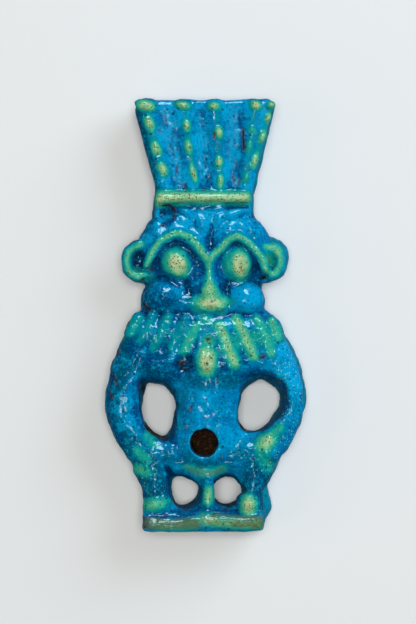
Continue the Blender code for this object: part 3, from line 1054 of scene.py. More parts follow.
@dataclass
class Mane(Part):
    """The mane from the jaw over the shoulders, and its locks."""

    coils: tuple[Coil, ...] = (
        (
            (-7.4, 24.9, 3.6, 3.1),
            (-4.0, 25.4, 3.6, 3.4),
            (0.0, 25.0, 3.6, 3.55),
            (4.0, 25.4, 3.6, 3.4),
            (7.0, 24.9, 3.6, 3.0),
        ),
        ((-8.0, 21.8, 3.6, 3.1), (0.0, 21.9, 3.7, 3.4), (8.2, 21.8, 3.6, 3.0)),
    )
    masses: tuple[Ball, ...] = (
        ((0.1, 24.2, 4.4), (4.8, 3.8, 2.75)),
        ((0.2, 23.2, 3.6), (10.0, 5.2, 3.4)),
        ((0.3, 21.6, 3.3), (9.4, 4.0, 3.1)),
    )
    crest_z: float = 7.05
    fall: float = 0.85
    reach: float = 10.0
    lock_girth: float = 1.15
    locks: tuple[tuple[Station, ...], ...] = (
        ((-8.5, 27.0, 0.75), (-9.6, 25.2, 0.7)),
        ((-6.7, 27.5, 0.6), (-7.6, 25.6, 0.7), (-8.4, 24.2, 0.55)),
        ((-4.8, 27.2, 0.65), (-5.8, 24.9, 0.8), (-6.6, 23.2, 0.6)),
        ((-2.6, 26.8, 0.6), (-3.8, 24.6, 0.7), (-4.3, 23.4, 0.55)),
        ((-1.2, 26.0, 0.65), (-2.3, 23.9, 0.7), (-2.8, 22.9, 0.55)),
        ((1.7, 26.1, 0.7), (2.8, 23.5, 1.1), (3.6, 21.3, 0.85)),
        ((3.9, 26.8, 0.7), (5.2, 24.1, 0.95), (6.0, 22.3, 0.75)),
        ((6.4, 26.9, 0.6), (7.7, 24.5, 0.75), (8.3, 22.7, 0.6)),
        ((8.3, 26.6, 0.7), (9.2, 24.6, 0.7)),
    )
    strengths: tuple[float, ...] = (0.44, 0.3, 0.34, 0.32, 0.66, 1.0, 0.98, 0.66, 0.76)
    lock_line: float = 0.3
    lock_tint: float = 0.78
    chin: Ball = ((0.1, 21.7, 6.2), (1.4, 2.0, 1.3))
    marks: Glaze = Glaze(
        thin=(
            Dab((0.15, 21.7), (0.85, 1.4), 0.95),
            Dab((0.3, 24.1), (0.5, 0.6), 0.6),
            Stroke(((-9.3, 25.6, 0.9), (-6.0, 24.9, 0.9), (-2.5, 24.0, 0.6)), 0.14),
            Stroke(((-9.7, 27.0, 0.4), (-10.9, 24.6, 0.4)), 0.3),
            Stroke(((-9.0, 26.2, 0.6), (-5.5, 25.3, 0.5), (-2.0, 24.3, 0.4)), 0.2),
            Stroke(((2.6, 23.8, 0.8), (5.6, 24.2, 0.8), (9.4, 25.4, 0.9)), 0.34),
        ),
        # Pooled glaze with painted shade between the locks and under the cheeks.
        pool=(
            Dab((-1.75, 21.6), (0.8, 1.1)),
            Dab((-3.2, 21.3), (1.2, 0.95), 0.8),
            Stroke(((1.3, 24.8, 0.3), (1.9, 22.6, 0.35), (2.4, 20.9, 0.4)), 0.95),
            Stroke(((3.4, 25.3, 0.3), (4.3, 23.4, 0.3), (4.9, 21.8, 0.4)), 0.85),
            Stroke(((-6.1, 25.9, 0.2), (-7.2, 23.6, 0.25)), 0.6),
            Stroke(((-4.3, 25.6, 0.2), (-5.4, 23.2, 0.3)), 0.7),
            Stroke(((-0.9, 25.6, 0.2), (-1.5, 23.6, 0.3)), 0.7),
            Stroke(((-7.4, 27.35, 0.15), (-3.0, 26.9, 0.15), (1.5, 26.2, 0.15)), 0.6),
            Stroke(((-8.9, 23.6, 0.9), (-6.5, 21.9, 1.0), (-3.9, 20.2, 1.0)), 0.68),
        ),
        # Painted shade over the left of the mane and under the cheeks.
        painted_shade=(
            Stroke(((-9.8, 23.6, 1.2), (-7.4, 21.8, 1.4), (-4.0, 20.4, 1.2)), 0.6),
            Stroke(((-8.6, 26.6, 0.6), (-4.0, 26.4, 0.5)), 0.4),
            Stroke(((-10.2, 27.0, 0.2), (-11.4, 24.4, 0.2)), 0.8),
        ),
        bare=(
            Dab((0.2, 24.35), (0.24, 0.2)),
            Dab((0.45, 23.9), (0.12, 0.16)),
            Dab((7.15, 22.15), (0.38, 0.17), turn=20.0),
            Dab((-3.0, 21.3), (0.42, 0.26), 0.95, 25.0),
            Dab((-2.5, 20.75), (0.2, 0.14), 0.8),
            Dab((0.15, 21.35), (0.15, 0.15)),
            Dab((0.15, 20.65), (0.1, 0.1)),
        ),
        dents=(
            (Dab((-2.7, 21.4), (1.25, 1.05), turn=15.0), 0.5),
            (Dab((0.3, 24.1), (0.35, 0.5)), 0.22),
            (Dab((7.15, 22.1), (0.35, 0.18), turn=20.0), 0.3),
        ),
    )

    def lay_broad(self, bed: ClayBed) -> None:
        """Lays the mass of the mane.

        Args:
            bed: The bed that takes the clay.
        """
        bed.roll(*self.coils)
        bed.balls(self.masses)

    def lay_fine(self, bed: ClayBed) -> None:
        """Lays the locks, lower towards the shoulders, and the tuft under the chin.

        Args:
            bed: The bed that takes the clay.
        """
        for lock in self.locks:
            crest = self.crest_z - self.fall * (lock[0][0] / self.reach) ** 2
            bed.front(widened(lock, self.lock_girth), crest)
        bed.ball(*self.chin)

    def glaze(self) -> Glaze:
        """Marks the locks thin, and the hollows between them pooled and painted with shade.

        Returns:
            The marks.
        """
        pairs = zip(self.locks, self.strengths)
        locks = tuple(Stroke(widened(lock, self.lock_line), much * self.lock_tint) for lock, much in pairs)
        return self.marks + Glaze(thin=locks)


@dataclass
class Trunk(Part):
    """The trunk with its round belly and the drilled navel."""

    spine: Coil = (
        (0.1, 24.5, 3.7, 3.4),
        (0.1, 20.5, 3.7, 3.3),
        (0.3, 17.0, 3.7, 3.35),
        (0.0, 12.4, 3.8, 3.3),
        (-0.1, 9.9, 3.6, 3.1),
    )
    groin: Coil = ((-4.6, 9.6, 3.6, 3.0), (4.5, 9.6, 3.6, 3.0))
    masses: tuple[Ball, ...] = (
        ((-0.2, 12.2, 3.9), (5.2, 5.6, 3.45)),
        ((0.3, 15.8, 3.7), (5.0, 6.5, 3.35)),
        ((0.3, 20.2, 3.7), (6.4, 4.2, 3.2)),
        ((-2.9, 9.8, 2.5), (2.7, 3.0, 2.4)),
        ((3.4, 9.8, 2.5), (2.7, 3.0, 2.4)),
    )
    navel: Spot = (-0.25, 11.3)
    navel_radius: float = 1.72
    navel_flare: float = 1.5
    navel_floor_z: float = 3.0
    navel_edge: float = 1.02
    bare_top_z: float = 6.9
    drill_length: float = 40.0
    marks: Glaze = Glaze(
        thin=(Stroke(((-2.1, 8.1, 0.1), (-0.9, 7.6, 0.25), (1.0, 7.6, 0.2), (2.1, 8.0, 0.1)), 0.4),),
        # Painted shade under the mane and down the belly's sides.
        painted_shade=(
            Stroke(((-1.6, 19.8, 1.6), (3.4, 19.6, 1.4)), 0.75),
            Stroke(((-3.0, 17.2, 1.0), (-2.6, 14.0, 0.8)), 0.5),
            Stroke(((3.4, 17.0, 0.6), (3.2, 14.0, 0.6)), 0.3),
        ),
        bare=(
            Dab((-1.9, 15.9), (0.18, 0.12), turn=20.0),
            Dab((-2.1, 15.35), (0.12, 0.18)),
            Dab((-2.5, 13.35), (0.1, 0.1)),
            Dab((1.95, 9.5), (0.12, 0.1)),
            Dab((-0.7, 8.1), (0.28, 0.1), 0.7),
            Dab((1.5, 18.9), (0.11, 0.11)),
        ),
        # Painted highlight patches on the belly.
        clear=(
            Dab((-0.2, 15.4), (2.0, 1.6), 0.35),
            Stroke(((2.6, 12.6, 0.8), (2.2, 9.8, 0.8)), 0.5),
        ),
        stain=(Stroke(((-2.3, 8.1, 0.2), (-0.9, 7.5, 0.3), (1.0, 7.5, 0.3), (2.2, 8.0, 0.2)), 0.6),),
        dents=(
            (Dab((-1.9, 15.7), (0.3, 0.4)), 0.15),
            (Dab((-0.75, 8.1), (0.35, 0.14)), 0.15),
        ),
    )

    def lay_broad(self, bed: ClayBed) -> None:
        """Lays the trunk.

        Args:
            bed: The bed that takes the clay.
        """
        bed.roll(self.spine, self.groin)
        bed.balls(self.masses)

    def drill(self) -> bpy.types.Object:
        """Makes the drill that opens the navel.

        Returns:
            The drill, in metres.
        """
        shape = bmesh.new()
        bmesh.ops.create_cone(
            shape,
            cap_ends=True,
            segments=64,
            radius1=self.navel_radius * MM,
            radius2=self.navel_radius * self.navel_flare * MM,
            depth=self.drill_length * MM,
            matrix=Matrix.Translation(Vector((*self.navel, self.navel_floor_z + self.drill_length / 2)) * MM),
        )
        return poured("navel_drill", shape)

    def in_navel(self, xy: np.ndarray) -> np.ndarray:
        """Tells which points lie in the navel.

        Args:
            xy: The points, in millimetres.

        Returns:
            True for each point in it.
        """
        return np.linalg.norm(xy - np.array(self.navel), axis=1) < self.navel_radius * self.navel_edge


@dataclass
class Limbs(Part):
    """The arms bowed down to the thighs, the legs, and the tail between them."""

    arm_crest_z: float = 7.0
    leg_crest_z: float = 6.7
    tail_crest_z: float = 6.3
    ridge_rise: float = 0.3
    arms: tuple[tuple[Station, ...], ...] = (
        (
            (-7.4, 25.0, 2.6), (-8.95, 21.7, 2.75), (-9.85, 19.0, 2.6), (-10.5, 16.4, 2.4),
            (-10.2, 14.3, 2.4), (-9.4, 12.6, 2.35), (-8.4, 10.6, 2.2),
        ),
        (
            (6.6, 25.0, 2.4), (8.7, 21.7, 2.6), (10.15, 18.8, 2.1), (10.75, 16.4, 1.85),
            (10.15, 14.2, 1.85), (9.1, 12.4, 2.05), (7.8, 10.6, 2.2),
        ),
    )
    legs: tuple[tuple[Station, ...], ...] = (
        ((-5.6, 10.0, 2.5), (-6.75, 8.8, 2.7), (-6.6, 7.2, 2.4), (-6.25, 5.4, 1.95), (-6.0, 3.2, 1.95)),
        ((5.4, 10.0, 2.5), (6.3, 8.8, 2.7), (6.15, 7.2, 2.2), (5.85, 5.4, 1.55), (5.8, 3.2, 1.7)),
    )
    tail: tuple[Station, ...] = ((0.0, 7.6, 1.4), (-0.1, 5.7, 0.9), (-0.05, 4.6, 0.9), (0.0, 2.9, 1.3))
    tail_ridge: tuple[Station, ...] = ((0.25, 6.6, 0.8), (0.35, 4.9, 0.75), (0.3, 3.2, 0.85))
    back_tail: tuple[Station, ...] = ((-0.35, 15.5, 0.7), (-0.35, 11.0, 0.8), (-0.3, 7.6, 0.85))
    # Each web by its ends in x and in y.
    webs: tuple[tuple[Spot, Spot], ...] = (
        ((-9.0, -3.6), (11.2, 20.0)),
        ((3.6, 9.8), (11.2, 20.2)),
        ((-6.3, 6.2), (1.8, 8.5)),
    )
    web_z: Spot = (1.0, 5.6)
    openings: tuple[Opening, ...] = (
        Opening(
            ((-7.7, 17.9), (-6.9, 18.4), (-5.1, 17.7), (-4.1, 15.8),
             (-5.3, 12.3), (-7.1, 13.0), (-8.1, 14.8)),
            ((-8.5, 19.0), (-7.2, 19.6), (-4.5, 18.9), (-3.5, 16.3),
             (-4.4, 11.5), (-7.1, 12.5), (-8.3, 14.8)),
        ),
        Opening(
            ((5.2, 17.7), (7.0, 18.7), (9.0, 17.5), (8.9, 15.0), (6.4, 12.7), (4.4, 13.7), (4.5, 15.8)),
            ((4.6, 19.1), (6.9, 20.1), (9.8, 18.7), (9.9, 15.7), (6.9, 12.5), (4.1, 13.4), (4.1, 16.2)),
        ),
        Opening(
            ((-4.1, 6.2), (-2.6, 6.3), (-1.1, 5.4), (-1.8, 3.8), (-3.3, 3.3), (-4.3, 4.4)),
            ((-4.9, 7.6), (-2.6, 7.2), (-0.5, 5.5), (-0.8, 3.4), (-3.0, 2.8), (-4.4, 4.0)),
        ),
        Opening(
            ((1.6, 6.0), (2.9, 6.4), (4.5, 5.3), (3.9, 3.8), (2.1, 3.3), (1.0, 4.5)),
            ((1.2, 6.9), (2.9, 7.5), (5.0, 5.7), (4.5, 3.6), (2.1, 2.9), (0.8, 4.7)),
        ),
    )
    marks: Glaze = Glaze(
        thin=(
            Dab((7.55, 11.3), (0.95, 0.7), 0.85, 35.0),
            Stroke(((7.6, 11.5, 0.3), (8.6, 12.4, 0.3), (9.4, 13.2, 0.2)), 0.5),
            Stroke(((7.3, 10.8, 0.6), (7.2, 9.4, 0.6), (7.9, 8.2, 0.5)), 0.36),
            Stroke(((-8.6, 10.2, 0.3), (-7.6, 9.2, 0.3)), 0.42),
            Dab((-8.3, 7.8), (0.6, 0.3), 0.6, -15.0),
            Stroke(((-7.4, 12.2, 0.2), (-6.6, 11.1, 0.2)), 0.4),
            Stroke(((0.35, 5.2, 0.2), (0.3, 4.1, 0.25)), 0.8),
            Dab((-6.5, 3.5), (1.1, 0.5), 0.62, 8.0),
            Dab((5.4, 3.4), (0.65, 0.9), 0.95),
        ),
        # Pooled glaze with painted shade round the openings and the arm at the viewer's left.
        pool=(
            Stroke(((-5.0, 8.0, 0.15), (-4.4, 7.1, 0.25))),
            Stroke(((-9.2, 22.6, 0.9), (-5.6, 21.2, 0.9)), 0.42),
            Dab((6.3, 6.2), (1.0, 1.6), 0.35),
            Dab((-4.3, 11.9), (0.4, 0.8), 0.8, 20.0),
            Stroke(((-11.6, 20.4, 0.3), (-12.3, 17.0, 0.25), (-11.7, 13.6, 0.3), (-10.6, 11.4, 0.3)), 0.6),
            Stroke(((-8.9, 17.8, 0.2), (-8.9, 15.0, 0.2), (-7.9, 12.6, 0.2)), 0.6),
            Stroke(((-9.0, 18.9, 0.3), (-7.2, 19.5, 0.3), (-5.2, 19.1, 0.3), (-3.9, 17.6, 0.25)), 0.6),
            Stroke(
                ((4.6, 19.6, 0.3), (6.9, 20.2, 0.2), (9.3, 19.0, 0.3), (10.2, 16.8, 0.3), (9.6, 14.6, 0.2)),
                0.85,
            ),
        ),
        # Painted shade down the left side, the legs and the tail.
        painted_shade=(
            Stroke(
                ((-10.4, 21.4, 1.0), (-11.4, 17.0, 0.9), (-10.6, 12.6, 1.2), (-8.2, 8.6, 1.8),
                 (-6.4, 4.8, 1.9)),
                0.92,
            ),
            Stroke(((-9.4, 23.2, 1.8), (-5.4, 20.9, 2.0))),
            Stroke(((6.9, 8.2, 1.8), (6.2, 4.8, 2.2))),
            Stroke(((3.2, 9.2, 1.0), (6.6, 10.4, 1.2)), 0.55),
            Stroke(((-4.9, 9.6, 1.2), (-0.5, 8.4, 1.2), (3.0, 8.6, 1.0)), 0.65),
            Stroke(((0.1, 6.4, 1.0), (0.1, 3.2, 1.0)), 0.8),
            Stroke(((11.4, 17.0, 1.0), (10.6, 12.4, 1.2)), 0.3),
        ),
        # Flecks, partly pale speckle of the glaze and partly painted glints.
        speck=(
            Stroke(
                ((8.8, 24.0, 1.8), (10.8, 19.5, 1.8), (11.2, 16.0, 1.6), (9.6, 12.4, 1.8), (8.0, 8.6, 2.0)),
            ),
            Stroke(((-8.8, 10.8, 1.2), (-7.4, 8.0, 1.6), (-6.6, 5.2, 1.2)), 0.6),
            Dab((7.6, 25.0), (2.0, 1.6), turn=-50.0),
            Dab((6.3, 4.0), (1.8, 2.2), 0.4),
        ),
        bare=(
            Stroke(((-11.0, 22.9, 0.12), (-11.25, 22.3, 0.1)), 0.9),
            Stroke(((-11.75, 19.7, 0.1), (-11.3, 19.0, 0.13)), 0.9),
            Stroke(((-12.1, 17.6, 0.1), (-11.9, 16.9, 0.1)), 0.9),
            Dab((9.6, 14.3), (0.12, 0.12), 0.8),
            Dab((-9.3, 15.9), (0.1, 0.1), 0.8),
        ),
        # Painted highlight patches on the arms.
        clear=(
            Stroke(((-10.5, 16.4, 0.7), (-9.9, 13.6, 0.7)), 0.6),
            Stroke(((9.8, 23.0, 0.8), (11.3, 19.0, 0.8)), 0.8),
        ),
        rust=(
            Stroke(((-7.6, 13.1, 0.4), (-6.6, 12.5, 0.5), (-5.3, 11.9, 0.4))),
            Dab((-8.1, 18.1), (0.5, 0.6), 0.8),
            Dab((4.7, 13.1), (0.7, 0.5)),
            Stroke(((-4.2, 3.6, 0.3), (-3.0, 3.0, 0.4), (-1.5, 3.4, 0.3)), 0.5),
            Stroke(((1.2, 3.7, 0.3), (2.6, 3.0, 0.4), (4.2, 3.6, 0.3)), 0.5),
        ),
        dents=(
            (Stroke(((-5.0, 8.1, 0.15), (-4.5, 7.4, 0.2))), 0.5),
            (Dab((-4.4, 12.0), (0.3, 0.6), turn=20.0), 0.35),
        ),
    )

    def lay_broad(self, bed: ClayBed) -> None:
        """Lays the arms, the legs and the tail in both halves.

        Args:
            bed: The bed that takes the clay.
        """
        for arm in self.arms:
            bed.limb(arm, self.arm_crest_z)
        for leg in self.legs:
            bed.limb(leg, self.leg_crest_z)
        bed.limb(self.tail, self.tail_crest_z)
        bed.roll(MOULD.roll(self.back_tail, Half.BACK))
        for span_x, span_y in self.webs:
            bed.block(span_x, span_x, span_y, self.web_z)

    def plugs(self) -> bpy.types.Object:
        """Makes the plugs that cut the gaps beside the trunk and between the legs.

        Returns:
            The plugs as one object, in metres.
        """
        shape = bmesh.new()
        for opening in self.openings:
            opening.cut_from(shape)
        bmesh.ops.recalc_face_normals(shape, faces=shape.faces)
        return poured("plugs", shape)

    def lay_fine(self, bed: ClayBed) -> None:
        """Lays the ridge of the tail.

        Args:
            bed: The bed that takes the clay.
        """
        bed.front(self.tail_ridge, self.tail_crest_z + self.ridge_rise)


@dataclass
class Base(Part):
    """The base with its raised front lip and the feet on it."""

    span_x: Spot = (-8.0, 7.4)
    back_x: Spot = (-7.75, 7.6)
    span_y: Spot = (0.0, 2.6)
    trim_y: float = 0.04
    front_z: float = 6.9
    heel: Coil = ((-6.5, 2.2, 1.9, 1.3), (7.0, 2.4, 1.9, 1.35))
    heel_bulge: Ball = ((6.7, 3.1, 1.8), (1.8, 2.1, 1.8))
    lip: tuple[Station, ...] = ((-6.9, 1.05, 1.1), (-3.0, 1.05, 1.045), (1.0, 1.3, 1.155), (6.3, 1.15, 1.1))
    lip_crest_z: float = 7.6
    feet: tuple[Ball, ...] = (
        ((-6.2, 3.4, 5.1), (1.9, 1.4, 2.2)),
        ((5.5, 3.5, 5.1), (1.7, 1.55, 2.2)),
    )
    edge: tuple[Station, ...] = (
        (-7.2, 0.95, 0.4), (-4.5, 0.8, 0.3), (-1.5, 1.0, 0.35),
        (0.8, 1.4, 0.4), (4.0, 1.15, 0.4), (6.7, 1.1, 0.4),
    )
    edge_tint: float = 0.7
    edge_matt: float = 0.3
    stain_girth: float = 1.9
    stain_lift: float = 0.25
    stain_tints: Place = (0.85, 0.6, 0.8)
    marks: Glaze = Glaze(
        thin=(
            Stroke(((-6.5, 0.95, 0.25), (-4.5, 0.8, 0.3), (-1.5, 1.0, 0.35)), 0.46),
            Dab((0.45, 1.6), (0.8, 0.4), 0.85),
        ),
        # Pooled glaze with painted shade at the lip's left end and along its top.
        pool=(
            Dab((-7.8, 1.2), (0.3, 1.2), 0.8),
            Stroke(((-6.9, 2.1, 0.08), (0.0, 2.3, 0.08), (6.6, 2.1, 0.08)), 0.55),
            Stroke(((-6.8, 2.15, 0.15), (-4.4, 2.2, 0.15)), 0.7),
        ),
        # Painted shade along the lip.
        painted_shade=(Stroke(((-6.8, 1.6, 1.0), (0.0, 2.0, 0.6), (6.8, 1.8, 1.0)), 0.55),),
        bare=(
            Stroke(((0.75, 2.0, 0.09), (1.1, 2.35, 0.11))),
            Dab((-5.2, 2.1), (0.14, 0.1), 0.8),
        ),
        dents=((Stroke(((0.7, 1.95, 0.12), (1.15, 2.4, 0.14))), 0.3),),
    )

    def lay_broad(self, bed: ClayBed) -> None:
        """Lays the base block in both halves.

        Args:
            bed: The bed that takes the clay.
        """
        bed.block(self.span_x, self.span_x, self.span_y, (MOULD.seam_z - MOULD.overlap, self.front_z))
        bed.block(self.back_x, self.back_x, self.span_y, (MOULD.rest_z, MOULD.seam_z))
        bed.roll(self.heel)
        bed.ball(*self.heel_bulge)

    def lay_fine(self, bed: ClayBed) -> None:
        """Lays the lip and the feet.

        Args:
            bed: The bed that takes the clay.
        """
        bed.front(self.lip, self.lip_crest_z)
        bed.balls(self.feet)

    def glaze(self) -> Glaze:
        """Marks the thin, stained glaze along the lip.

        Returns:
            The marks.
        """
        wide = widened(self.edge, self.stain_girth, self.stain_lift)
        stretches = (wide[:3], wide[2:5], wide[4:])
        stain = tuple(Stroke(path, much) for path, much in zip(stretches, self.stain_tints))
        thin = (Stroke(self.edge[3:], self.edge_tint),)
        return self.marks + Glaze(thin=thin, stain=stain, matt=(Stroke(self.edge, self.edge_matt),))


@dataclass(frozen=True)
class Noise:
    """A soft noise: the size of its features in millimetres, its detail and its roughness."""

    size: float
    detail: float = 2.0
    rough: float = 0.5


@dataclass(frozen=True)
class Dots:
    """Round dots: their spacing in millimetres, and their least and most radius as shares of it.

    A least radius below zero leaves some dots out.
    """

    spacing: float
    least: float
    most: float
    softness: float = 0.1


@dataclass(frozen=True)
class Coat:
    """A colour that comes in, up to some share, as a measure goes from low to high."""

    colour: Colour
    low: float
    high: float
    most: float = 1.0


class GlazeNodes(Tree):
    """The glaze's nodes, with the object coordinates and the mesh's marks at hand."""

    kinds: tuple[str, ...] = ("thin", "pool", "painted_shade", "speck", "bare", "clear", "stain", "matt", "relief")

    def __init__(self, material: bpy.types.Material, colour: Colour) -> None:
        """Starts from a plain colour.

        Args:
            material: The material that the nodes are for.
            colour: The colour under every coat.
        """
        super().__init__(material.node_tree)
        self.shader = self.tree.nodes["Principled BSDF"]
        self.where = self.node("ShaderNodeTexCoord").outputs["Object"]
        self.marks = {kind: self.mark(kind) for kind in self.kinds}
        self.colour: Socket | Colour = colour

    def mark(self, kind: str) -> Socket:
        """Reads one kind of mark from the mesh."""
        return self.node("ShaderNodeAttribute", attribute_name=kind).outputs["Fac"]

    def noise(self, noise: Noise) -> Socket:
        """Adds a noise.

        Args:
            noise: The noise.

        Returns:
            Its value, mostly near one half.
        """
        feeds = {
            "Vector": self.where,
            "Scale": 1.0 / (noise.size * MM),
            "Detail": noise.detail,
            "Roughness": noise.rough,
        }
        return self.out("ShaderNodeTexNoise", feeds)

    def dots(self, dots: Dots) -> Socket:
        """Scatters round dots of uneven size.

        Args:
            dots: The dots.

        Returns:
            One in the dots, zero between them, soft at their edges.
        """
        cells = self.node("ShaderNodeTexVoronoi", {"Vector": self.where, "Scale": 1.0 / (dots.spacing * MM)})
        chance = self.out("ShaderNodeSeparateColor", {0: cells.outputs["Color"]})
        radius = self.add(self.times(chance, dots.most - dots.least), dots.least)
        return self.ramp(self.less(radius, cells.outputs["Distance"]), 0.0, dots.softness)

    def ramp(self, value: Socket, low: float, high: float) -> Socket:
        """Maps a value smoothly from 0 at low to 1 at high."""
        return self.out("ShaderNodeMapRange", {0: value, 1: low, 2: high}, interpolation_type="SMOOTHSTEP")

    def swing(self, noise: Socket, gain: float, middle: float = 0.5) -> Socket:
        """Gives how far a noise lies over its middle, times a gain."""
        return self.times(self.less(noise, middle), gain)

    def blend(self, share: Socket, a: Socket | Colour, b: Socket | Colour) -> Socket:
        """Mixes two colours."""
        return self.node("ShaderNodeMix", {0: share, 6: a, 7: b}, data_type="RGBA").outputs[2]

    def lay(self, colour: Socket | Colour, share: Socket, most: float = 1.0) -> None:
        """Lays a colour over the glaze.

        Args:
            colour: The colour.
            share: How much of it shows at each point.
            most: What that is multiplied by.
        """
        self.colour = self.blend(self.times(share, most), self.colour, colour)

    def coat(self, value: Socket, *coats: Coat) -> None:
        """Lays coats over the glaze.

        Args:
            value: The measure that brings them in.
            coats: The coats, the lowest first.
        """
        for coat in coats:
            self.lay(coat.colour, self.ramp(value, coat.low, coat.high), coat.most)


class Tint:
    """The colours of the glaze and of the clay under it."""

    MID: Colour = (0.0, 0.165, 0.42, 1.0)
    BRIGHT: Colour = (0.0, 0.36, 0.70, 1.0)
    TEAL: Colour = (0.0, 0.25, 0.31, 1.0)
    # A dark teal for painted shade, also used for broad random tone.
    SHADE_AND_TONE_TEAL: Colour = (0.0, 0.052, 0.082, 1.0)
    DEEP: Colour = (0.0, 0.055, 0.20, 1.0)
    ABYSS: Colour = (0.0, 0.014, 0.045, 1.0)
    GREEN: Colour = (0.01, 0.40, 0.31, 1.0)
    LIME: Colour = (0.16, 0.52, 0.26, 1.0)
    CREAM: Colour = (0.50, 0.60, 0.33, 1.0)
    # A pale teal for painted highlight specks.
    PAINTED_GLINT_TEAL: Colour = (0.10, 0.52, 0.55, 1.0)
    FRECKLE: Colour = (0.10, 0.05, 0.015, 1.0)
    GRIME: Colour = (0.10, 0.115, 0.03, 1.0)
    SOILED_CLAY: Colour = (0.011, 0.007, 0.004, 1.0)
    FRESH_CLAY: Colour = (0.30, 0.075, 0.012, 1.0)


@dataclass(frozen=True)
class FaienceFinish:
    """Blue faience glaze: thin over raised clay, pooled in the hollows, pitted all over, with painted shade
    and painted highlights in its colour.
    """

    # The glaze's own unevenness, from clouds to grains.
    broad: Noise = Noise(3.0, 3.0)
    mottle: Noise = Noise(0.9, 4.0, 0.65)
    blotch: Noise = Noise(0.6, 2.0, 0.7)
    grain: Noise = Noise(0.3, 3.0, 0.7)
    fine: Noise = Noise(0.26, 2.0, 0.7)
    # Its coats, from the bottom up.
    clouds: Coat = Coat(Tint.BRIGHT, 0.42, 0.68)
    mottling: Coat = Coat(Tint.TEAL, 0.45, 0.68, 0.55)
    # Painted shade from the shade marks, over a broad random tone.
    shade_and_tone: Coat = Coat(Tint.SHADE_AND_TONE_TEAL, 0.1, 0.9, 0.85)
    # Painted highlight patches, random blotches and painted light on rises, in bright blue.
    light: Coat = Coat(Tint.BRIGHT, 0.42, 0.75, 0.75)
    # Pooled glaze and painted shade, deep blue and darkest in crevices.
    pools: tuple[Coat, Coat] = (Coat(Tint.DEEP, 0.1, 0.75, 0.9), Coat(Tint.ABYSS, 0.75, 1.3, 0.8))
    fine_light: Coat = Coat(Tint.BRIGHT, 0.52, 0.7, 0.5)
    fine_deep: Coat = Coat(Tint.DEEP, 0.52, 0.7, 0.65)
    wear: tuple[Coat, ...] = (
        Coat(Tint.TEAL, 0.02, 0.3),
        Coat(Tint.GREEN, 0.18, 0.52),
        Coat(Tint.LIME, 0.45, 0.82),
        Coat(Tint.CREAM, 0.72, 1.1),
    )
    grime: Coat = Coat(Tint.GRIME, 0.1, 0.9, 0.85)
    # What the noises and the relief do to the marks.
    # How much broad random tone goes into the painted shade's coat.
    shade_and_tone_swing: float = 0.8
    # How much the painted highlight patches lighten the glaze.
    painted_sheen_light: float = 0.36
    light_base: float = 0.1
    # Rises painted lighter, partly as thinner glaze and partly as painted light.
    relief_light: float = 0.8
    # How much random blotches vary the pooled glaze and painted shade.
    pool_and_shade_swing: float = 0.9
    wear_swing: float = 0.6
    wear_start: Spot = (0.02, 0.3)
    grime_middle: float = 0.55
    grime_swing: float = 1.6
    # The dots, each with how much of its colour shows.
    freckles: Dots = Dots(0.21, -0.02, 0.52)
    freckle_wear: Spot = (0.35, 0.75)
    freckle_share: float = 0.95
    deep_dots: Dots = Dots(0.7, -0.2, 0.34)
    deep_share: float = 0.6
    # Painted highlight specks on the rises.
    painted_glint_dots: Dots = Dots(0.55, -0.35, 0.3)
    painted_glint_relief: Spot = (0.4, 0.7)
    painted_glint_share: float = 0.55
    pinholes: tuple[Dots, Dots] = (Dots(2.1, -0.12, 0.1), Dots(1.1, -0.14, 0.12))
    pinhole_share: float = 0.9
    # Flecks: partly pale speckle of the glaze and partly painted glints.
    flecks: Dots = Dots(0.27, -0.32, 0.5)
    fleck_share: float = 0.75
    chips: Noise = Noise(0.3, 3.0)
    chip_range: Spot = (0.5, 0.7)
    # How much bare clay is soiled where glaze pooled or shade is painted.
    pool_and_shade_soil: float = 0.75
    # The gloss, and how much each dull thing takes from it.
    specular: float = 0.42
    polish: float = 0.03
    grain_rough: float = 0.14
    dull_rough: float = 0.65
    bare_dull: float = 1.4
    worn_dull: float = 0.35
    worn_range: Spot = (0.6, 1.0)
    # The bump, as heights in millimetres.
    swell: Noise = Noise(1.3, 1.0)
    swell_height: float = 0.12
    tooth: Noise = Noise(0.38, 1.0)
    tooth_height: float = 0.03
    hole_depth: float = 0.03

    def make(self) -> bpy.types.Material:
        """Builds the material.

        Returns:
            The material.
        """
        material = bpy.data.materials.new("blue_faience")
        material.use_nodes = True
        tree = GlazeNodes(material, Tint.MID)
        mottle, grain = tree.noise(self.mottle), tree.noise(self.grain)
        self.tint(tree, mottle)
        worn = self.worn(tree, mottle, grain)
        tree.coat(worn, *self.wear)
        soil = tree.swing(grain, self.grime_swing, self.grime_middle)
        tree.coat(tree.add(tree.marks["stain"], soil), self.grime)
        holes = self.pit(tree, worn)
        self.chipped(tree)
        tree.feed(tree.shader, "Base Color", tree.colour)
        self.gloss(tree, worn, grain)
        self.ripple(tree, holes)
        return material

    def tint(self, tree: GlazeNodes, mottle: Socket) -> None:
        """Lays the blues, from the clouds down to the pools, with painted shade and painted highlights among
        them.

        Args:
            tree: The material's nodes.
            mottle: The noise that mottles them.
        """
        marks = tree.marks
        broad, blotch = tree.noise(self.broad), tree.noise(self.blotch)
        tree.coat(broad, self.clouds)
        tree.coat(mottle, self.mottling)
        # Painted shade: the shade marks darken the glaze, with a broad random tone.
        tree.coat(tree.add(marks["painted_shade"], tree.swing(broad, self.shade_and_tone_swing)), self.shade_and_tone)
        # Rises are lighter and dips darker, partly as glaze thickness and partly as painted light and shade.
        lift = tree.less(marks["relief"], LEVEL_RELIEF)
        # Painted highlight patches and random blotches lighten the glaze.
        light = tree.add(tree.times(marks["clear"], self.painted_sheen_light), tree.less(blotch, self.light_base))
        tree.coat(tree.add(light, tree.times(lift, self.relief_light)), self.light)
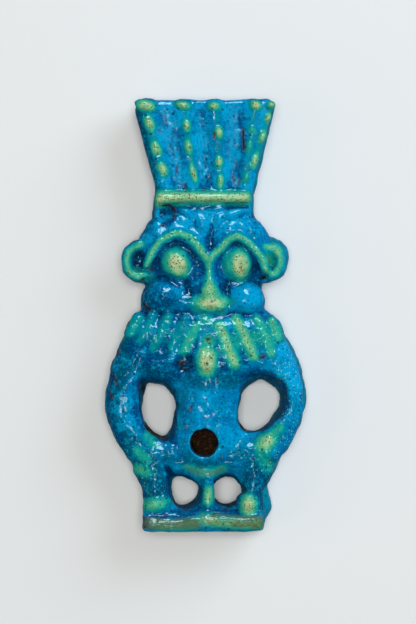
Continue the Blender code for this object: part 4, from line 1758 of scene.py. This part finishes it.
        # Pooled glaze and painted shade darken it.
        pooled = tree.less(marks["pool"], tree.swing(blotch, self.pool_and_shade_swing))
        tree.coat(tree.less(pooled, lift), *self.pools)
        fine = tree.noise(self.fine)
        tree.coat(fine, self.fine_light)
        tree.coat(tree.less(1.0, fine), self.fine_deep)

    def worn(self, tree: GlazeNodes, mottle: Socket, grain: Socket) -> Socket:
        """Gives how thin the glaze is.

        Args:
            tree: The material's nodes.
            mottle: The noise that makes it patchy.
            grain: The noise that makes it grainy.

        Returns:
            The thinness, which starts at zero.
        """
        thin = tree.marks["thin"]
        patchy = tree.add(tree.swing(grain, self.wear_swing), tree.swing(mottle, self.wear_swing))
        return tree.add(thin, tree.times(patchy, tree.ramp(thin, *self.wear_start)))

    def pit(self, tree: GlazeNodes, worn: Socket) -> Socket:
        """Lays the painted highlight specks, the flecks, the dark dots, the freckles and the pinholes.

        Args:
            tree: The material's nodes.
            worn: How thin the glaze is.

        Returns:
            How far each point lies in a hole.
        """
        freckles = tree.times(tree.dots(self.freckles), tree.ramp(worn, *self.freckle_wear))
        # Pale dots on the rises are painted highlight specks.
        pale = tree.times(tree.dots(self.painted_glint_dots), tree.ramp(tree.marks["relief"], *self.painted_glint_relief))
        deep = tree.dots(self.deep_dots)
        pinholes = tree.most(*(tree.dots(dots) for dots in self.pinholes))
        # Flecks are partly pale speckle of the glaze and partly painted glints.
        flecks = tree.times(tree.dots(self.flecks), tree.marks["speck"])
        tree.lay(Tint.PAINTED_GLINT_TEAL, pale, self.painted_glint_share)
        tree.lay(Tint.LIME, flecks, self.fleck_share)
        tree.lay(Tint.ABYSS, deep, self.deep_share)
        tree.lay(Tint.FRECKLE, freckles, self.freckle_share)
        tree.lay(Tint.SOILED_CLAY, pinholes, self.pinhole_share)
        return tree.most(tree.most(freckles, pinholes), deep)

    def chipped(self, tree: GlazeNodes) -> None:
        """Lays the bare clay: dark with soil, and freshly chipped away from pooled glaze and painted shade.

        Args:
            tree: The material's nodes.
        """
        clean = tree.less(1.0, tree.times(tree.marks["pool"], self.pool_and_shade_soil))
        fresh = tree.times(tree.ramp(tree.noise(self.chips), *self.chip_range), clean)
        tree.lay(tree.blend(fresh, Tint.SOILED_CLAY, Tint.FRESH_CLAY), tree.marks["bare"])

    def gloss(self, tree: GlazeNodes, worn: Socket, grain: Socket) -> None:
        """Sets how glossy each point is.

        Args:
            tree: The material's nodes.
            worn: How thin the glaze is.
            grain: The noise that breaks the gloss.
        """
        thin = tree.times(tree.ramp(worn, *self.worn_range), self.worn_dull)
        dull = tree.most(tree.most(thin, tree.marks["matt"]), tree.times(tree.marks["bare"], self.bare_dull))
        rough = tree.add(tree.times(dull, self.dull_rough), tree.times(grain, self.grain_rough))
        tree.feed(tree.shader, "Roughness", tree.math("ADD", rough, self.polish, clamp=True))
        tree.feed(tree.shader, "Specular IOR Level", self.specular)

    def ripple(self, tree: GlazeNodes, holes: Socket) -> None:
        """Gives the glaze its ripples, tooth and pinholes as bump.

        Args:
            tree: The material's nodes.
            holes: How far each point lies in a hole.
        """
        swell = tree.times(tree.noise(self.swell), self.swell_height)
        tooth = tree.times(tree.noise(self.tooth), self.tooth_height)
        height = tree.less(tree.add(swell, tooth), tree.times(holes, self.hole_depth))
        bump = tree.out("ShaderNodeBump", {"Strength": 1.0, "Distance": MM, "Height": height})
        tree.feed(tree.shader, "Normal", bump)


class SkinNodes(Group):
    """Geometry Nodes that ripple a surface along its own normals."""

    detail: float = 2.0

    def __init__(self) -> None:
        """Builds the group: waves and grain push the surface in and out."""
        sizes = {
            "Wave Height": 0.0008,
            "Wave Size": 0.002,
            "Grain Height": 0.0002,
            "Grain Size": 0.0008,
            "Seed": 3.0,
        }
        super().__init__("glaze_skin", sizes)
        push = self.add(self.push("Wave"), self.push("Grain"))
        push = self.times(push, self.less(1.0, self.stored("even")))
        along = self.scaled(self.out("GeometryNodeInputNormal"), push)
        self.end(self.out("GeometryNodeSetPosition", {"Geometry": self.given["Geometry"], "Offset": along}))

    def push(self, label: str) -> Socket:
        """Makes a noise that pushes both ways.

        Args:
            label: Which height and size the noise has.

        Returns:
            How far it pushes each point out, in metres.
        """
        feeds = {
            "Scale": self.math("DIVIDE", 1.0, self.given[f"{label} Size"]),
            "W": self.given["Seed"],
            "Detail": self.detail,
        }
        noise = self.out("ShaderNodeTexNoise", feeds, noise_dimensions="4D")
        return self.times(self.less(noise, 0.5), self.given[f"{label} Height"])


class Surface:
    """The points of a mesh in millimetres, in the maker's frame, and the marks on them."""

    def __init__(self, mesh: bpy.types.Mesh) -> None:
        """Reads a mesh.

        Args:
            mesh: The mesh, in metres.
        """
        self.mesh = mesh
        self.place = self.read(mesh.vertices, "co", np.float32, 3).astype(float) / MM
        self.facing = self.read(mesh.vertices, "normal", np.float32, 3)
        self.edges = self.read(mesh.edges, "vertices", np.int32, 2)
        self.xy = self.place[:, :2]

    def read(self, rows: bpy.types.bpy_prop_collection, name: str, kind: type, width: int) -> np.ndarray:
        """Reads a property of all the points or edges.

        Args:
            rows: The points or edges.
            name: The property.
            kind: The kind of number.
            width: The numbers in each.

        Returns:
            The property, one row for each.
        """
        values = np.empty(len(rows) * width, dtype=kind)
        rows.foreach_get(name, values)
        return values.reshape(-1, width)

    def store(self, name: str, values: np.ndarray) -> None:
        """Stores a mark on the mesh, kept between 0 and 1."""
        attribute = self.mesh.attributes.new(name, "FLOAT", "POINT")
        attribute.data.foreach_set("value", np.clip(values, 0.0, 1.0).astype(np.float32))

    def gathered(self, marks: tuple[Mark, ...], fade: Spot) -> np.ndarray:
        """Lays marks over each other, keeping the strongest at each point.

        Args:
            marks: The marks.
            fade: How far in from their edges and out from them the marks fade.

        Returns:
            The strength of each point.
        """
        total = np.zeros(len(self.xy))
        for mark in marks:
            total = np.maximum(total, mark.mask(self.xy, fade))
        return total

    def proud(self, passes: int) -> np.ndarray:
        """Measures how far each point stands out of its smoothed surroundings.

        Args:
            passes: How widely the surroundings are smoothed.

        Returns:
            The height of each point over them, below zero in hollows.
        """
        a, b = self.edges[:, 0], self.edges[:, 1]
        count = len(self.place)
        share = np.bincount(a, minlength=count) + np.bincount(b, minlength=count)
        calm = self.place.copy()
        for _ in range(passes):
            sums = [np.bincount(a, calm[b, k], count) + np.bincount(b, calm[a, k], count) for k in range(3)]
            calm = np.stack([total / share for total in sums], axis=1)
        return ((self.place - calm) * self.facing).sum(axis=1)

    def settle(self, low_y: float) -> None:
        """Trims the points at the floor and at a low y, and moves the mesh to the frame's origin.

        Args:
            low_y: The lowest y, in millimetres.
        """
        self.place[:, 2] = np.maximum(self.place[:, 2], 0.0)
        self.place[:, 1] = np.maximum(self.place[:, 1], low_y)
        self.place[:, :2] -= np.array(MAKERS_ORIGIN)
        self.mesh.vertices.foreach_set("co", (self.place * MM).astype(np.float32).ravel())
        self.mesh.update()


@dataclass(frozen=True)
class GlazeFlow:
    """How softly the glaze's marks fade, where the shape alone makes it run or gather, and where shade is
    painted in hollows, on walls and slopes and over the lower half.
    """

    thin_fade: Spot = (0.4, 1.0)
    crest_fade: Spot = (0.4, 0.55)
    # Pooled glaze and painted shade.
    pool_and_shade_fade: Spot = (0.3, 0.8)
    # Painted shade.
    painted_shade_fade: Spot = (1.2, 1.6)
    speck_fade: Spot = (0.8, 0.8)
    bare_fade: Spot = (0.08, 0.14)
    # Painted highlights.
    painted_sheen_fade: Spot = (1.0, 1.4)
    stain_fade: Spot = (0.3, 0.5)
    rust_fade: Spot = (0.3, 0.3)
    matt_fade: Spot = (0.8, 1.2)
    dent_fade: Spot = (0.3, 0.35)
    # How far a point has to face up, and lie over the seam, to be on the front.
    front_facing: Spot = (0.05, 0.45)
    wall_facing: Spot = (0.1, 0.6)
    upper_rise: float = 1.0
    # Edges stand out and hollows lie in; fine relief is painted lighter on rises and darker in dips, partly
    # as glaze thickness and partly as painted light and shade.
    edge_passes: int = 40
    edge_heights: Spot = (0.1, 0.35)
    edge_thin: float = 0.3
    hollow_passes: int = 160
    hollow_depths: Spot = (0.08, 0.45)
    # Hollows darken, partly as pooled glaze and partly as painted shade.
    hollow_pool_and_shade: float = 0.9
    relief_passes: int = 12
    relief_gain: float = 2.2
    # Walls and slopes are painted darker as shade, except on the lit right side.
    wall_reach: Spot = (-0.7, -0.2)
    wall_painted_shade: float = 0.8
    slope_facing: Spot = (0.5, 0.92)
    slope_painted_shade: float = 0.42
    lit_share: float = 0.85
    lit_facing: Spot = (0.15, 0.6)
    lit_x: Spot = (2.0, 5.0)
    # The lower half, which no mark reaches, is painted darker as shade and a little thin.
    lower_painted_shade: float = 0.4
    lower_thin: float = 0.17
    matt_share: float = 0.5

    def spread(self, skin: Surface, glaze: Glaze, crown: Crown, trunk: Trunk) -> None:
        """Dents a surface and stores where its glaze is thin, pooled, specked or bare, and where shade and
        highlights are painted.

        Args:
            skin: The surface.
            glaze: The marks on it.
            crown: The crown, whose plumes are evener than the rest.
            trunk: The trunk, whose navel is bare.
        """
        up = skin.facing[:, 2]
        front = soft_step(up, *self.front_facing) * (skin.place[:, 2] > MOULD.seam_z)
        upper = soft_step(skin.place[:, 2], MOULD.seam_z, MOULD.seam_z + self.upper_rise)
        steep = 1.0 - soft_step(up, *self.wall_facing)
        for mark, depth in glaze.dents:
            skin.place[:, 2] -= depth * mark.mask(skin.xy, self.dent_fade) * front
        navel = trunk.in_navel(skin.xy)
        evened = crown.evenness * crown.plumes(skin.xy) * front
        skin.store("thin", self.thin(skin, glaze, front, upper))
        # Pooled glaze and painted shade, and the dark navel.
        skin.store("pool", np.maximum(self.pool(skin, glaze, upper, evened, front, steep), navel))
        # Painted shade from the marks, and over the whole lower half.
        painted_shade = skin.gathered(glaze.painted_shade, self.painted_shade_fade) * upper
        skin.store("painted_shade", np.maximum(painted_shade, self.lower_painted_shade * (1.0 - upper)))
        bare = skin.gathered(glaze.bare, self.bare_fade) * front
        bare = np.maximum(bare, skin.gathered(glaze.rust, self.rust_fade) * steep)
        skin.store("bare", np.maximum(bare, navel & (skin.place[:, 2] < trunk.bare_top_z)))
        skin.store("speck", skin.gathered(glaze.speck, self.speck_fade) * upper)
        # Painted highlight patches.
        skin.store("clear", skin.gathered(glaze.clear, self.painted_sheen_fade) * upper)
        skin.store("stain", skin.gathered(glaze.stain, self.stain_fade) * upper)
        skin.store("matt", np.maximum(steep, self.matt_share * skin.gathered(glaze.matt, self.matt_fade)))
        # Relief: rises lighter and dips darker, partly glaze thickness and partly painted light and shade.
        skin.store("relief", LEVEL_RELIEF + skin.proud(self.relief_passes) * self.relief_gain * front)

    def thin(self, skin: Surface, glaze: Glaze, front: np.ndarray, upper: np.ndarray) -> np.ndarray:
        """Gives where the glaze is thin: on the marks, on edges and a little all round the back.

        Args:
            skin: The surface.
            glaze: The marks on it.
            front: How far each point is on the front.
            upper: How far each point is in the upper half.

        Returns:
            The thinness of each point.
        """
        marked = skin.gathered(glaze.thin, self.thin_fade)
        crests = skin.gathered(glaze.crests, self.crest_fade)
        edges = self.edge_thin * soft_step(skin.proud(self.edge_passes), *self.edge_heights) * (1.0 - front)
        lower = self.lower_thin * (1.0 - upper)
        return np.maximum.reduce((marked * upper, crests * upper, edges, lower))

    def pool(
        self,
        skin: Surface,
        glaze: Glaze,
        upper: np.ndarray,
        evened: np.ndarray,
        front: np.ndarray,
        steep: np.ndarray,
    ) -> np.ndarray:
        """Gives where the glaze pooled and where shade is painted: on the marks, in hollows, and as painted
        shade down walls and slopes.

        Args:
            skin: The surface.
            glaze: The marks on it.
            upper: How far each point is in the upper half.
            evened: How much shallower each point's hollows are.
            front: How far each point is on the front.
            steep: How far each point is on a wall.

        Returns:
            The depth of pooled glaze and painted shade at each point.
        """
        up = skin.facing[:, 2]
        marked = skin.gathered(glaze.pool, self.pool_and_shade_fade) * upper
        depth = soft_step(-skin.proud(self.hollow_passes), *self.hollow_depths)
        # Hollows: partly pooled glaze, partly painted shade.
        hollow = self.hollow_pool_and_shade * depth * (1.0 - evened)
        lit = soft_step(skin.facing[:, 0], *self.lit_facing) * soft_step(skin.place[:, 0], *self.lit_x)
        shade = 1.0 - self.lit_share * lit
        # Painted shade down walls, less on the lit right side.
        wall = steep * soft_step(up, *self.wall_reach) * self.wall_painted_shade * shade
        # Painted shade on slopes, less on the lit right side.
        slope = self.slope_painted_shade * front * (1.0 - soft_step(up, *self.slope_facing)) * shade
        return np.maximum.reduce((marked, hollow, wall, slope))


@dataclass
class BesFigure:
    """The whole figure, from laid clay to the finished piece."""

    crown: Crown = field(default_factory=Crown)
    head: Head = field(default_factory=Head)
    mane: Mane = field(default_factory=Mane)
    trunk: Trunk = field(default_factory=Trunk)
    limbs: Limbs = field(default_factory=Limbs)
    base: Base = field(default_factory=Base)
    finish: FaienceFinish = field(default_factory=FaienceFinish)
    flow: GlazeFlow = field(default_factory=GlazeFlow)
    broad_voxel: float = 0.22
    broad_passes: int = 22
    fine_voxel: float = 0.15
    fine_passes: int = 18
    smoothing: float = 0.5
    most_triangles: int = 190_000

    @property
    def parts(self) -> tuple[Part, ...]:
        """Gives the parts from crown to base."""
        return (self.crown, self.head, self.mane, self.trunk, self.limbs, self.base)

    def build(self) -> bpy.types.Object:
        """Builds the finished piece.

        Returns:
            The piece, placed in the shared frame.
        """
        material = self.finish.make()
        broad, fine = ClayBed(), ClayBed()
        for part in self.parts:
            part.lay_broad(broad)
            part.lay_fine(fine)
        clay = broad.gather("broad_clay", material)
        mesh = self.fused(clay, self.broad_voxel, self.broad_passes, self.limbs.plugs(), self.trunk.drill())
        LOG.info("broad clay: %d faces", len(mesh.polygons))
        mesh = self.fused(fine.gather("fine_clay", material, mesh), self.fine_voxel, self.fine_passes)
        LOG.info("fine clay: %d faces", len(mesh.polygons))
        mesh = self.thinned(mesh)
        self.calm(mesh)
        mesh = SkinNodes().run(mesh, material)
        skin = Surface(mesh)
        glaze = sum((part.glaze() for part in self.parts), Glaze())
        self.flow.spread(skin, glaze, self.crown, self.trunk)
        skin.settle(self.base.trim_y)
        mesh.name = "bes_figure_skin"
        for polygon in mesh.polygons:
            polygon.use_smooth = True
        return put_out("bes_figure_skin", mesh)

    def fused(
        self,
        clay: bpy.types.Object,
        voxel: float,
        passes: int,
        plugs: bpy.types.Object | None = None,
        drill: bpy.types.Object | None = None,
    ) -> bpy.types.Mesh:
        """Fuses and smooths clay, cut by plugs before the smoothing and by a drill after it.

        Args:
            clay: The object to fuse.
            voxel: The size of the fusing grid in millimetres.
            passes: The passes of smoothing.
            plugs: What is cut out while the clay is soft, or None.
            drill: What is cut out last, or None.

        Returns:
            The fused mesh; the objects that went in are used up.
        """
        remesh = clay.modifiers.new("fuse", "REMESH")
        remesh.mode = "VOXEL"
        remesh.voxel_size = voxel * MM
        self.cut(clay, plugs)
        smooth = clay.modifiers.new("smooth", "SMOOTH")
        smooth.factor = self.smoothing
        smooth.iterations = passes
        self.cut(clay, drill)
        made = settled(clay)
        for used in (plugs, drill):
            if used:
                bpy.data.objects.remove(used)
        return made

    def cut(self, clay: bpy.types.Object, cutter: bpy.types.Object | None) -> None:
        """Adds a cut by one object to another.

        Args:
            clay: The object that is cut.
            cutter: What cuts it, or None for no cut.
        """
        if cutter is None:
            return
        cut = clay.modifiers.new("cut", "BOOLEAN")
        cut.operation = "DIFFERENCE"
        cut.solver = "EXACT"
        cut.object = cutter

    def thinned(self, mesh: bpy.types.Mesh) -> bpy.types.Mesh:
        """Brings a mesh under the most triangles set for the piece.

        Args:
            mesh: The mesh, mostly of four-sided faces.

        Returns:
            The lighter mesh.
        """
        mesh.calc_loop_triangles()
        ratio = min(1.0, self.most_triangles / len(mesh.loop_triangles))
        holder = put_out("thin", mesh)
        holder.modifiers.new("thin", "DECIMATE").ratio = ratio
        return settled(holder)

    def calm(self, mesh: bpy.types.Mesh) -> None:
        """Stores how much evener the plumes and cheeks are than the rest.

        Args:
            mesh: The mesh, in metres in the maker's frame.
        """
        skin = Surface(mesh)
        even = self.crown.evenness * self.crown.plumes(skin.xy)
        for centre, radii in self.head.cheeks:
            cheek = Dab(centre[:2], radii[:2], self.head.evenness)
            even = np.maximum(even, cheek.mask(skin.xy, self.head.even_fade))
        skin.store("even", even)


@dataclass(frozen=True)
class Lamp:
    """A soft light that looks at the figure; a mirrored one shows in the glaze and lights nothing else."""

    name: str
    at: Place
    size: Spot
    power: float
    tint: tuple[float, float, float]
    mirrored: bool = False

    def hang(self) -> None:
        """Hangs the light."""
        lamp = bpy.data.lights.new(self.name, "AREA")
        lamp.shape = "RECTANGLE"
        lamp.size, lamp.size_y = self.size
        lamp.energy = self.power
        lamp.color = self.tint
        holder = put_out(self.name, lamp)
        holder.location = self.at
        holder.rotation_euler = Vector(self.at).to_track_quat("Z", "Y").to_euler()
        holder.visible_glossy = self.mirrored
        holder.visible_diffuse = not self.mirrored


@dataclass(frozen=True)
class Studio:
    """The pale floor, the soft light and the camera over the figure."""

    floor_size: float = 1.2
    floor_colour: Colour = (0.80, 0.83, 0.87, 1.0)
    floor_rough: float = 0.9
    sky_colour: Colour = (0.93, 0.96, 1.0, 1.0)
    sky_power: float = 0.1
    # The height in metres, and the place over the figure in millimetres.
    camera_height: float = 0.267
    camera_at: Spot = (0.2, 0.25)
    # How much of y the picture holds, in millimetres, at a depth in metres.
    frame_height: float = 78.75
    focus_depth: float = 0.26
    film: float = 36.0
    clip: Spot = (0.01, 10.0)
    lamps: tuple[Lamp, ...] = (
        Lamp("overhead", (0.0, 0.02, 0.62), (0.24, 0.24), 2.5, (1.0, 0.95, 0.87)),
        Lamp("window", (0.40, 0.34, 0.30), (0.45, 0.45), 2.35, (0.76, 0.90, 1.0)),
        Lamp("fill", (-0.50, -0.10, 0.30), (0.50, 0.50), 0.5, (1.0, 0.84, 0.60)),
        Lamp("glint_top", (0.02, 0.32, 0.33), (0.17, 0.17), 1.45, (0.58, 0.90, 1.0), True),
        Lamp("glint_high", (-0.02, -0.034, 0.44), (0.09, 0.045), 0.2, (0.58, 0.90, 1.0), True),
    )

    def build(self) -> None:
        """Builds the floor, lights and camera."""
        self.lay_floor()
        for lamp in self.lamps:
            lamp.hang()
        self.light_sky()
        self.place_camera()

    def light_sky(self) -> None:
        """Gives the studio its faint light from all round."""
        world = bpy.data.worlds.new("studio")
        bpy.context.scene.world = world
        world.use_nodes = True
        background = world.node_tree.nodes["Background"]
        background.inputs["Color"].default_value = self.sky_colour
        background.inputs["Strength"].default_value = self.sky_power
        world.cycles_visibility.glossy = False
        bpy.context.scene.view_settings.view_transform = "Standard"

    def lay_floor(self) -> None:
        """Lays the pale floor under the figure."""
        mesh = bpy.data.meshes.new("floor")
        half = self.floor_size / 2
        corners = [(-half, -half, 0.0), (half, -half, 0.0), (half, half, 0.0), (-half, half, 0.0)]
        mesh.from_pydata(corners, [], [(0, 1, 2, 3)])
        material = bpy.data.materials.new("pale_paper")
        material.use_nodes = True
        shader = material.node_tree.nodes["Principled BSDF"]
        shader.inputs["Base Color"].default_value = self.floor_colour
        shader.inputs["Roughness"].default_value = self.floor_rough
        mesh.materials.append(material)
        floor = put_out("floor", mesh)
        floor.visible_glossy = False

    def place_camera(self) -> None:
        """Sets the camera straight above the figure."""
        camera = bpy.data.cameras.new("camera")
        camera.sensor_width = self.film
        camera.lens = self.film * self.focus_depth / (self.frame_height * MM)
        camera.clip_start, camera.clip_end = self.clip
        holder = put_out("camera", camera)
        holder.location = (self.camera_at[0] * MM, self.camera_at[1] * MM, self.camera_height)
        bpy.context.scene.camera = holder


def main() -> None:
    """Builds the studio and the figure."""
    logging.basicConfig(level=logging.INFO, format="%(name)s: %(message)s")
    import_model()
    Studio().build()
    piece = BesFigure().build()
    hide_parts("bes_figure")
    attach(piece, "root")
    LOG.info("%s: %d faces", piece.name, len(piece.data.polygons))


if __name__ == "__main__":
    main()
